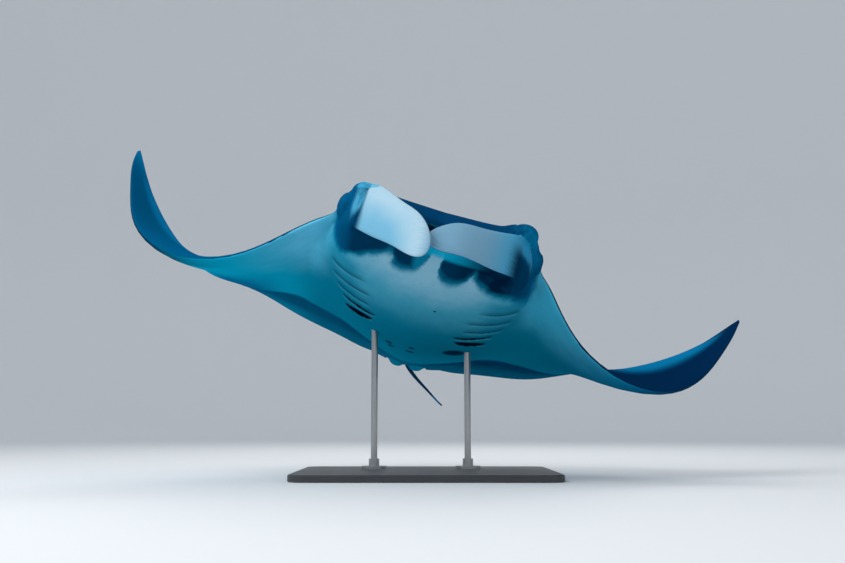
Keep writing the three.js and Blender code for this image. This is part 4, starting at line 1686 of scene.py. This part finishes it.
@dataclass(frozen=True)
class BellySkin:
    """The belly: painted light at the throat and wing roots, painted shade rearwards; a dark rear
    band.
    """

    rear_over: Span = (0.1, 0.2)
    throat_back: Span = (0.12, 0.045)
    throat_side: Span = (0.11, 0.05)
    gills_inner: Span = (0.07, 0.095)
    gills_outer: Span = (0.15, 0.12)
    gills_front: Span = (0.08, 0.11)
    gills_back: Span = (0.22, 0.16)
    gills_strength: float = 0.7
    outer_over: Span = (0.19, 0.26)
    outer_right_shift: float = 0.06
    root_inner: Span = (0.125, 0.16)
    root_outer: Span = (0.25, 0.16)
    root_back: Span = (0.22, 0.1)
    root_left_loss: float = 0.15
    far_left_over: Span = (0.15, 0.29)
    shade_back: Span = (0.17, 0.31)
    shade_right: Span = (-0.17, -0.24)
    shade_outer: Span = (0.31, 0.27)
    band_width: float = 0.074
    band_right_width: float = 0.045
    band_right_over: Span = (0.12, 0.22)
    band_middle: Span = (0.4, 0.6)
    band_middle_over: Span = (0.0, 0.09)
    band_taper: Span = (0.69, 0.55)
    band_end: Span = (0.7, 0.6)
    band_rag: float = 0.014
    band_fade: Span = (-0.006, 0.004)
    band_strength: Span = (0.55, 0.4)
    band_inward: Span = (0.02, 0.06)
    fleck_scale: float = 420
    fleck_over: Span = (0.66, 0.8)
    mottle_over: Span = (0.4, 0.8)
    fleck_strength: float = 0.12
    tip_over: Span = (0.64, 0.7)
    tip_rim: Span = (0.034, 0.022)
    tip_rag: float = 0.2

    def colour(self, at: SkinPoint) -> Socket:
        """Mixes the colour.

        Args:
            at: the skin's measures.

        Returns:
            The colour.
        """
        mix = at.graph.mix
        back = at.y + at.drift
        # painted shade: the belly darker towards its rear
        skin = mix(back.step(self.rear_over), HUES.belly_front, HUES.belly_shade_and_mottle)
        # painted light: the throat paler
        throat_lit = back.step(self.throat_back) * at.reach.step(self.throat_side)
        skin = mix(throat_lit, skin, HUES.throat_lit)
        gills = at.reach.step(self.gills_inner) * at.reach.step(self.gills_outer)
        gills = gills * back.step(self.gills_front) * at.y.step(self.gills_back)
        # painted shade over the gill area
        skin = mix(gills * self.gills_strength, skin, HUES.gill_shade)
        # painted water light on the outer wings
        outer = at.reach + (1 - at.left) * self.outer_right_shift
        skin = mix(outer.step(self.outer_over), skin, HUES.wing_outer)
        # painted light at the wings' roots, less on the left
        root = at.reach.step(self.root_inner) * (at.reach + at.drift).step(self.root_outer)
        root = root * back.step(self.root_back) * (1 - at.left * self.root_left_loss)
        skin = mix(root, skin, mix(at.left, HUES.wing_root, HUES.wing_root_left))
        # painted shade over the left wing's outer belly, then on the right wing's rear
        skin = mix(at.x.step(self.far_left_over), skin, HUES.wing_far_left_shade)
        shade = back.step(self.shade_back) * at.x.step(self.shade_right)
        skin = mix(shade * at.reach.step(self.shade_outer), skin, HUES.wing_rear_shade)
        skin = mix(self.band(at), skin, mix(at.left, HUES.band, HUES.band_left))
        fleck = at.graph.noise(at.graph.stretch(at.flat, (1, 1, 0)), self.fleck_scale, 2)
        skin = mix(fleck.step(self.fleck_over) * self.fleck_strength, skin, HUES.band)
        # random darker mottles, in the colour of the rear's painted shade
        mottle = at.mottle.step(self.mottle_over) * self.fleck_strength
        skin = mix(mottle, skin, HUES.belly_shade_and_mottle)
        rim = (at.front + at.drift * self.tip_rag).step(self.tip_rim)
        return mix(at.station.step(self.tip_over) * rim, skin, HUES.back)

    def band(self, at: SkinPoint) -> Value:
        """Works out the dark band along the rear edge.

        Args:
            at: the skin's measures.

        Returns:
            The band's mask.
        """
        right = (1 - at.left) * at.reach.step(self.band_right_over) * self.band_right_width
        least, more = self.band_middle
        narrowing = at.reach.step(self.band_middle_over) * more + least
        width = (right + self.band_width) * narrowing * at.station.step(self.band_taper)
        band = (width + at.cloud.sway(self.band_rag) - at.rear).step(self.band_fade)
        least, more = self.band_strength
        strength = least + at.rear.step(self.band_inward) * more
        return band * at.station.step(self.band_end) * strength


@dataclass(frozen=True)
class BackSkin:
    """The dark back, pale shoulders and blue head; painted light, shade and sheen on the wing tips.
    """

    shoulder_inner: Span = (0.05, 0.085)
    shoulder_outer: Span = (0.23, 0.15)
    shoulder_back: Span = (0.25, 0.19)
    shoulder_front: Span = (0.12, 0.145)
    shoulder_slope: float = 0.35
    shoulder_rim: Span = (0.018, 0.045)
    shoulder_rags: tuple[float, float, float, float] = (0.04, 0.05, 0.03, 0.02)
    shoulder_strength: float = 0.85
    worn_over: Span = (0.45, 0.75)
    worn_strength: float = 0.4
    head_back: Span = (0.1, 0.05)
    head_rag: float = 0.03
    head_mottle: Span = (0.4, 0.75)
    head_loss: float = 0.35
    head_side: Span = (0.085, 0.105)
    tip_sides: Span = (-0.1, 0.1)
    tip_over: Span = (0.52, 0.7)
    tip_rag: float = 0.06
    sheen_inward: Span = (0.3, 0.62)
    sheen_start: Span = (0.66, 0.72)
    sheen_end: Span = (0.93, 0.78)
    point_over: Span = (0.8, 0.95)
    point_side: Span = (0.1, -0.1)
    sheen_strength: float = 0.9

    def colour(self, at: SkinPoint, dark: Socket) -> Socket:
        """Mixes the colour.

        Args:
            at: the skin's measures.
            dark: the colour of the head's sides.

        Returns:
            The colour.
        """
        mix = at.graph.mix
        worn = at.mottle.step(self.worn_over) * self.worn_strength
        skin = mix(worn, HUES.back, HUES.back_worn)
        head = (at.y + at.cloud.sway(self.head_rag)).step(self.head_back)
        head = head * (1 - at.mottle.step(self.head_mottle) * self.head_loss)
        skin = mix(head, skin, mix(at.reach.step(self.head_side), HUES.head_top, dark))
        skin = mix(self.shoulders(at) * self.shoulder_strength, skin, HUES.shoulder)
        # painted light and shade on the tips: the right lit blue, the left shaded navy
        tip = mix(at.x.step(self.tip_sides), HUES.tip_right, HUES.tip_left)
        outer = (at.station + at.cloud.sway(self.tip_rag)).step(self.tip_over)
        skin = mix(outer, skin, tip)
        sheen = (at.front / (at.front + at.rear)).step(self.sheen_inward)
        sheen = sheen * at.station.step(self.sheen_start) * at.station.step(self.sheen_end)
        # painted highlight towards the right tip's point
        point = at.station.step(self.point_over) * at.x.step(self.point_side)
        return mix((sheen | point) * self.sheen_strength, skin, HUES.tip_sheen)

    def shoulders(self, at: SkinPoint) -> Value:
        """Works out the two pale patches behind the head.

        Args:
            at: the skin's measures.

        Returns:
            The patches' mask.
        """
        outer, back, front, rim = self.shoulder_rags
        patch = (at.reach + at.cloud.sway(outer)).step(self.shoulder_outer)
        patch = patch * at.reach.step(self.shoulder_inner)
        patch = patch & (at.y + at.streak.sway(back)).step(self.shoulder_back)
        slope = at.y + at.reach * self.shoulder_slope
        patch = patch & (slope + at.cloud.sway(front)).step(self.shoulder_front)
        return patch * (at.front + at.cloud.sway(rim)).step(self.shoulder_rim)


@dataclass(frozen=True)
class FinFaceSkin:
    """The cephalic fins' pale outer faces, dark at their roots; painted shade low down and on the
    left fin.
    """

    lower_over: Span = (-0.082, -0.136)
    lower_slope: float = 0.9
    lower_rag: float = 0.03
    lower_side: Span = (-0.012, -0.05)
    lower_strength: float = 0.85
    grain_over: Span = (0.4, 0.75)
    grain_strength: float = 0.3
    root_over: Span = (-0.03, -0.09)
    root_strength: float = 0.15
    left_root_over: Span = (0.045, 0.09)
    left_grain_over: Span = (0.45, 0.8)
    left_grain_strength: float = 0.25
    sides: Span = (-0.02, 0.0)
    right_edge: Span = (-0.0898, -0.0942)
    right_lean: Span = (1.0, -0.3)
    right_lean_size: float = 0.004
    right_lean_over: Span = (-0.03, -0.06)
    left_edge: Span = (0.0785, 0.0965)
    left_rag: float = 0.006
    left_strength: Span = (0.25, 0.75)
    left_down: Span = (-0.02, -0.046)

    def colour(self, at: SkinPoint, dark: Socket) -> Socket:
        """Mixes the colour.

        Args:
            at: the skin's measures.
            dark: the colour of the roots.

        Returns:
            The colour.
        """
        mix = at.graph.mix
        # painted shade towards the right fin's lower edge and its root
        lower = at.z + at.x * self.lower_slope + at.cloud.sway(self.lower_rag)
        shade = lower.step(self.lower_over) * at.x.step(self.lower_side) * self.lower_strength
        shade = shade | at.grain.step(self.grain_over) * self.grain_strength
        shade = shade | at.x.step(self.root_over) * self.root_strength
        right = mix(shade, HUES.fin_face, HUES.fin_shade)
        # painted shade: the left fin darker all over
        left = mix(at.x.step(self.left_root_over), HUES.fin_left, HUES.fin_left_root)
        streaks = at.grain.step(self.left_grain_over) * self.left_grain_strength
        left = mix(streaks, left, HUES.fin_left_root)
        return mix(self.roots(at), mix(at.x.step(self.sides), right, left), dark)

    def roots(self, at: SkinPoint) -> Value:
        """Works out how dark the fins' roots are.

        Args:
            at: the skin's measures.

        Returns:
            The mask of both roots.
        """
        lean = at.z.step(self.right_lean_over) * self.right_lean_size
        first, last = self.right_lean
        right = at.x.step((lean * first + self.right_edge[0], lean * last + self.right_edge[1]))
        least, more = self.left_strength
        left = (at.x + at.grain.sway(self.left_rag)).step(self.left_edge)
        return right | left * (at.z.step(self.left_down) * more + least)


@dataclass(frozen=True)
class Patch:
    """A soft round patch: its centre, its radii, and the raggedness of its outline."""

    centre: Span
    radii: Span
    rag: float = 0.7
    fade: Span = (1.35, 0.5)

    def mask(self, across: Value, along: Value, noise: Value) -> Value:
        """Works out the patch.

        Args:
            across: the first coordinate.
            along: the second coordinate.
            noise: what breaks up its outline.

        Returns:
            The mask.
        """
        wide = (across - self.centre[0]) / self.radii[0]
        high = (along - self.centre[1]) / self.radii[1]
        out = (wide * wide + high * high).root()
        return (out + noise.sway(self.rag)).step(self.fade)


@dataclass(frozen=True)
class HeadLights:
    """The lighter touches of the head: right cheek, left temple, and painted light atop the left
    knob and right cap.
    """

    cheek: Patch = Patch((-0.0995, -0.0245), (0.0075, 0.0165))
    cheek_side: Span = (-0.0885, -0.0945)
    temple: Patch = Patch((0.1035, -0.0275), (0.0075, 0.011))
    temple_strength: float = 0.7
    facing: Span = (0.03, 0.014)
    knob: Patch = Patch((0.102, 0.022), (0.02, 0.034))
    knob_up: Span = (-0.04, -0.014)
    cap_up: Span = (-0.0115, -0.0098)
    cap_back: Span = (0.016, 0.004)
    cap_right: Span = (-0.108, -0.103)
    cap_left: Span = (-0.078, -0.084)
    cap_rag: float = 0.002
    speckle_over: Span = (0.35, 0.65)
    cheek_strength: Span = (0.45, 0.5)
    knob_strength: Span = (0.25, 0.5)
    cap_strength: Span = (0.6, 0.4)

    def speckled(self, noise: Value, strength: Span) -> Value:
        """A strength that varies with a noise, from the first number up by the second."""
        return strength[0] + noise.step(self.speckle_over) * strength[1]

    def over(self, at: SkinPoint, skin: Socket) -> Socket:
        """Puts the touches on the skin.

        Args:
            at: the skin's measures.
            skin: the skin's colour.

        Returns:
            The lightened skin's colour.
        """
        mix = at.graph.mix
        facing = at.y.step(self.facing)
        cheek = self.cheek.mask(at.x, at.z, at.strands) * facing * at.x.step(self.cheek_side)
        cheek = cheek * self.speckled(at.strands, self.cheek_strength)
        skin = mix(cheek, skin, HUES.cheek)
        temple = self.temple.mask(at.x, at.z, at.strands) * facing * self.temple_strength
        skin = mix(temple, skin, HUES.temple)
        # painted light on the left knob's upper side, speckled
        knob = self.knob.mask(at.x, at.y, at.strands) * at.z.step(self.knob_up)
        skin = mix(knob * self.speckled(at.mottle, self.knob_strength), skin, HUES.knob)
        # painted light on the right knob's top, its cap, speckled
        cap = (at.z + at.strands.sway(self.cap_rag)).step(self.cap_up) * at.y.step(self.cap_back)
        cap = cap * at.x.step(self.cap_right) * at.x.step(self.cap_left)
        return mix(cap * self.speckled(at.mottle, self.cap_strength), skin, HUES.cap)


@dataclass(frozen=True)
class SkinFinish:
    """The living skin: dark back, pale belly and the dark marks of head, gills and edges."""

    belly: BellySkin = BellySkin()
    back: BackSkin = BackSkin()
    fin_faces: FinFaceSkin = FinFaceSkin()
    back_over: Span = (0.35, 0.65)
    face_over: Span = (0.3, 0.7)
    hollow_over: Span = (0.3, 0.7)
    roughness: Span = (0.42, 0.18)
    fine_scale: float = 900
    fine_relief: float = 0.4
    mottle_relief: float = 0.6
    grain_relief: float = 0.5

    def material(self) -> Material:
        """Builds the skin's nodes.

        Returns:
            The material.
        """
        graph = new_graph("manta_skin")
        at = SkinPoint(graph)
        dark = DarkSkin().colour(at)
        belly = JawMarks().over(at, self.belly.colour(at), dark)
        belly = Spots().over(at, GillMarks().over(at, belly))
        colour = graph.mix(at.back.step(self.back_over), belly, self.back.colour(at, dark))
        face = self.fin_faces.colour(at, dark)
        colour = graph.mix(at.fin.step(self.face_over), colour, face)
        colour = HeadLights().over(at, colour)
        # near black in the mouth, painted shade in the cut gill slits and eye sockets
        colour = graph.mix(at.hollow.step(self.hollow_over), colour, HUES.hollow)
        least, more = self.roughness
        relief = graph.noise(at.flat, self.fine_scale, 2) * self.fine_relief
        relief = relief + at.mottle * self.mottle_relief + at.grain * at.fin * self.grain_relief
        return graph.finish({
            "Base Color": colour,
            "Roughness": at.mottle * more + least,
            "Specular IOR Level": 0.0,
            "Normal": graph.bump(relief, strength=0.35, depth=0.004),
        })


# ------------------------------------------------------------------ other finishes


@dataclass(frozen=True)
class EyeFinish:
    """A wet dark eye with a faint brown iris round a wide pupil."""

    pupil: Colour = (0.001, 0.001, 0.002)
    iris: Colour = (0.022, 0.017, 0.012)
    white: Colour = (0.01, 0.012, 0.016)
    squash: float = 0.6
    pupil_edge: Span = (0.34, 0.38)
    iris_edge: Span = (0.58, 0.68)

    def material(self) -> Material:
        """Builds the eye's nodes.

        Returns:
            The material.
        """
        graph = new_graph("manta_eye")
        _, (wide, high, _) = graph.attribute("gaze")
        out = (wide * wide * self.squash + high * high).root()
        iris = graph.mix(out.step(self.pupil_edge), self.pupil, self.iris)
        return graph.finish({
            "Base Color": graph.mix(out.step(self.iris_edge), iris, self.white),
            "Roughness": 0.16,
            "Specular IOR Level": 0.3,
            "Coat Weight": 0.25,
            "Coat Roughness": 0.05,
        })


@dataclass(frozen=True)
class SatinPaint:
    """Dark satin paint with a faint orange peel, worn lighter by the floor."""

    colour: Colour = (0.03, 0.033, 0.037)
    worn: Colour = (0.07, 0.075, 0.08)
    cloud_scale: float = 7
    peel_scale: float = 420
    worn_height: Span = (0.008, 0.0)
    worn_clouds: Span = (0.4, 0.7)
    wear: float = 0.6
    fading: float = 0.15
    roughness: Span = (0.36, 0.12)

    def material(self) -> Material:
        """Builds the paint's nodes.

        Returns:
            The material.
        """
        graph = new_graph("stand_paint")
        place = graph.place()
        cloud = graph.noise(place, self.cloud_scale, detail=4)
        peel = graph.noise(place, self.peel_scale, detail=2)
        wear = graph.split(place)[2].step(self.worn_height) * cloud.step(self.worn_clouds)
        share = wear * self.wear + cloud * self.fading
        least, more = self.roughness
        return graph.finish({
            "Base Color": graph.mix(share, self.colour, self.worn),
            "Roughness": cloud * more + least,
            "Normal": graph.bump(peel, strength=0.12, depth=0.0006),
        })


@dataclass(frozen=True)
class BrushedSteel:
    """Steel brushed round its length."""

    colour: Colour = (0.46, 0.47, 0.48)
    shade: Colour = (0.34, 0.35, 0.36)
    brushing: Point = (1, 1, 90)
    brushed_scale: float = 14
    smudge_scale: float = 9
    shading: Span = (0.6, 0.3)
    least_roughness: float = 0.2
    roughness: Span = (0.16, 0.08)

    def material(self) -> Material:
        """Builds the steel's nodes.

        Returns:
            The material.
        """
        graph = new_graph("stand_steel")
        place = graph.place()
        brushed = graph.noise(graph.stretch(place, self.brushing), self.brushed_scale, detail=4)
        smudge = graph.noise(place, self.smudge_scale)
        share = brushed * self.shading[0] + smudge * self.shading[1]
        roughness = brushed * self.roughness[0] + smudge * self.roughness[1]
        return graph.finish({
            "Base Color": graph.mix(share, self.colour, self.shade),
            "Metallic": 1.0,
            "Roughness": roughness + self.least_roughness,
            "Normal": graph.bump(brushed, strength=0.1, depth=0.0004),
        })


# ------------------------------------------------------------------ eyes


@dataclass(frozen=True)
class Eye:
    """One eyeball: a sphere with a low cornea that looks outwards from the head's side."""

    side: int
    centre: Point = (0.1225, 0.045, -0.008)
    radius: float = 0.027
    cornea: float = 0.06
    cornea_power: int = 4
    gaze: Point = (1.0, -0.25, -0.1)
    around: int = 48
    tall: int = 32

    def build(self, wet: Material) -> Thing:
        """Builds the eyeball.

        Args:
            wet: the finish of both eyes.

        Returns:
            The eye, linked to the scene and dressed.
        """
        mesh = bmesh.new()
        add_ball(mesh, self.around, self.tall)
        mirror = np.array([self.side, 1.0, 1.0])
        spot = pose_animal(np.array([self.centre]) * mirror)[0]
        ahead = unit(POSE.turn() @ (np.array(self.gaze) * mirror))
        along = unit(np.cross(POSE.turn() @ np.array([0.0, 0.0, 1.0]), ahead))
        above = np.cross(ahead, along)
        layer = mesh.verts.layers.float_vector.new("gaze")
        for vertex in mesh.verts:
            wide, high, deep = vertex.co
            bulge = 1 - self.cornea + self.cornea * max(deep, 0.0) ** self.cornea_power
            vertex[layer] = (wide, high, deep) if deep > 0 else (1.0, 1.0, deep)
            shift = (along * wide + above * high + ahead * deep) * self.radius * bulge
            vertex.co = spot + shift
        face_outwards(mesh)
        eye = to_object(mesh, "manta_eye_left" if self.side > 0 else "manta_eye_right")
        dress(eye, wet)
        return eye


# ------------------------------------------------------------------ studio


@dataclass(frozen=True)
class Lamp:
    """A square soft light aimed at the model's middle."""

    name: str
    spot: Point
    watts: float
    size: float = 4.0
    aim: Point = (0.0, 0.0, 1.0)

    def hang(self) -> None:
        """Adds the light to the scene."""
        data = bpy.data.lights.new(self.name, "AREA")
        data.shape = "SQUARE"
        data.size = self.size
        data.energy = self.watts
        lamp = bpy.data.objects.new(self.name, data)
        lamp.location = self.spot
        ahead = Vector(self.aim) - Vector(self.spot)
        lamp.rotation_euler = ahead.to_track_quat("-Z", "Y").to_euler()
        bpy.context.scene.collection.objects.link(lamp)


@dataclass(frozen=True)
class Studio:
    """A round pale room with a curved foot, soft lights and the camera."""

    radius: float = 17.0
    wall: float = 14.0
    cove: float = 5.0
    cove_steps: int = 24
    spin_steps: int = 96
    weld: float = 1e-4
    colour: Colour = (0.8, 0.82, 0.84)
    roughness: float = 0.8
    sky: Colour = (0.9, 0.95, 1.0)
    sky_strength: float = 0.62
    lamps: tuple[Lamp, ...] = (
        Lamp("key_light", (-4.0, -4.5, 5.5), 330.0),
        Lamp("fill_light", (4.5, -6.0, 2.5), 30.0),
        Lamp("rim_light", (1.0, 5.5, 6.5), 160.0),
    )
    eye_point: Point = (-0.0196, -5.9517, 0.3202)
    tilt: float = math.radians(8.0)
    lens: float = 42.6
    sensor: float = 36.0
    far: float = 200.0

    def build_room(self) -> Thing:
        """Spins the floor and its curved foot into one round room.

        Returns:
            The room, linked to the scene and dressed.
        """
        mesh = bmesh.new()
        profile = [mesh.verts.new((0.0, 0.0, 0.0))]
        for step in range(self.cove_steps + 1):
            angle = math.pi / 2 * step / self.cove_steps
            out = self.radius - self.cove + self.cove * math.sin(angle)
            up = self.cove - self.cove * math.cos(angle)
            profile.append(mesh.verts.new((out, 0.0, up)))
        profile.append(mesh.verts.new((self.radius, 0.0, self.wall)))
        edges = [mesh.edges.new(pair) for pair in zip(profile, profile[1:], strict=False)]
        bmesh.ops.spin(
            mesh, geom=[*profile, *edges], axis=(0, 0, 1), cent=(0, 0, 0),
            angle=2 * math.pi, steps=self.spin_steps, use_merge=True,
        )
        bmesh.ops.remove_doubles(mesh, verts=mesh.verts, dist=self.weld)
        bmesh.ops.recalc_face_normals(mesh, faces=mesh.faces)
        room = to_object(mesh, "studio_room")
        looks = {"Base Color": (*self.colour, 1.0), "Roughness": self.roughness}
        dress(room, new_graph("studio_paper").finish(looks))
        return room

    def light(self) -> None:
        """Sets the sky and hangs the soft lights."""
        world = bpy.data.worlds.new("studio_sky")
        world.use_nodes = True
        background = world.node_tree.nodes["Background"]
        background.inputs["Color"].default_value = (*self.sky, 1.0)
        background.inputs["Strength"].default_value = self.sky_strength
        bpy.context.scene.world = world
        bpy.context.scene.view_settings.view_transform = "Standard"
        for lamp in self.lamps:
            lamp.hang()

    def aim_camera(self) -> None:
        """Sets up the camera in front of the animal, low and looking slightly up."""
        data = bpy.data.cameras.new("studio_camera")
        data.lens = self.lens
        data.sensor_width = self.sensor
        data.clip_end = self.far
        camera = bpy.data.objects.new("studio_camera", data)
        camera.location = self.eye_point
        camera.rotation_euler = (math.pi / 2 + self.tilt, 0.0, 0.0)
        bpy.context.scene.collection.objects.link(camera)
        bpy.context.scene.camera = camera


# ------------------------------------------------------------------ assembly


@dataclass(frozen=True)
class Stand:
    """The plain display stand, whose solids stay and take their finishes."""

    painted: tuple[str, ...] = ("stand_base",)
    brushed: tuple[str, ...] = (
        "stand_rod_right", "stand_rod_left", "stand_collar_right", "stand_collar_left",
    )

    def finish(self, nodes: dict[str, Thing]) -> None:
        """Gives each solid of the stand its finish.

        Args:
            nodes: the model's solids by name.
        """
        paint = SatinPaint().material()
        steel = BrushedSteel().material()
        finishes = {**dict.fromkeys(self.painted, paint), **dict.fromkeys(self.brushed, steel)}
        for name, material in finishes.items():
            for slot in nodes[name].material_slots:
                slot.material = material
            log.info("%s finished", name)


def report(piece: Thing) -> None:
    """Logs a finished piece."""
    log.info("%s: %d faces", piece.name, len(piece.data.polygons))


def main() -> None:
    """Builds every piece in order."""
    logging.basicConfig(level=logging.INFO, format="%(message)s")
    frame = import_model()
    manta = MantaSkin()
    skin = manta.build()
    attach(skin, BODY)
    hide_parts(*manta.nodes)
    report(skin)
    wet = EyeFinish().material()
    for side, node in ((-1, "eye_right"), (1, "eye_left")):
        eye = Eye(side).build(wet)
        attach(eye, BODY)
        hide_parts(node)
        report(eye)
    Stand().finish(frame["nodes"])
    studio = Studio()
    room = studio.build_room()
    report(room)
    studio.light()
    studio.aim_camera()


if __name__ == "__main__":
    main()
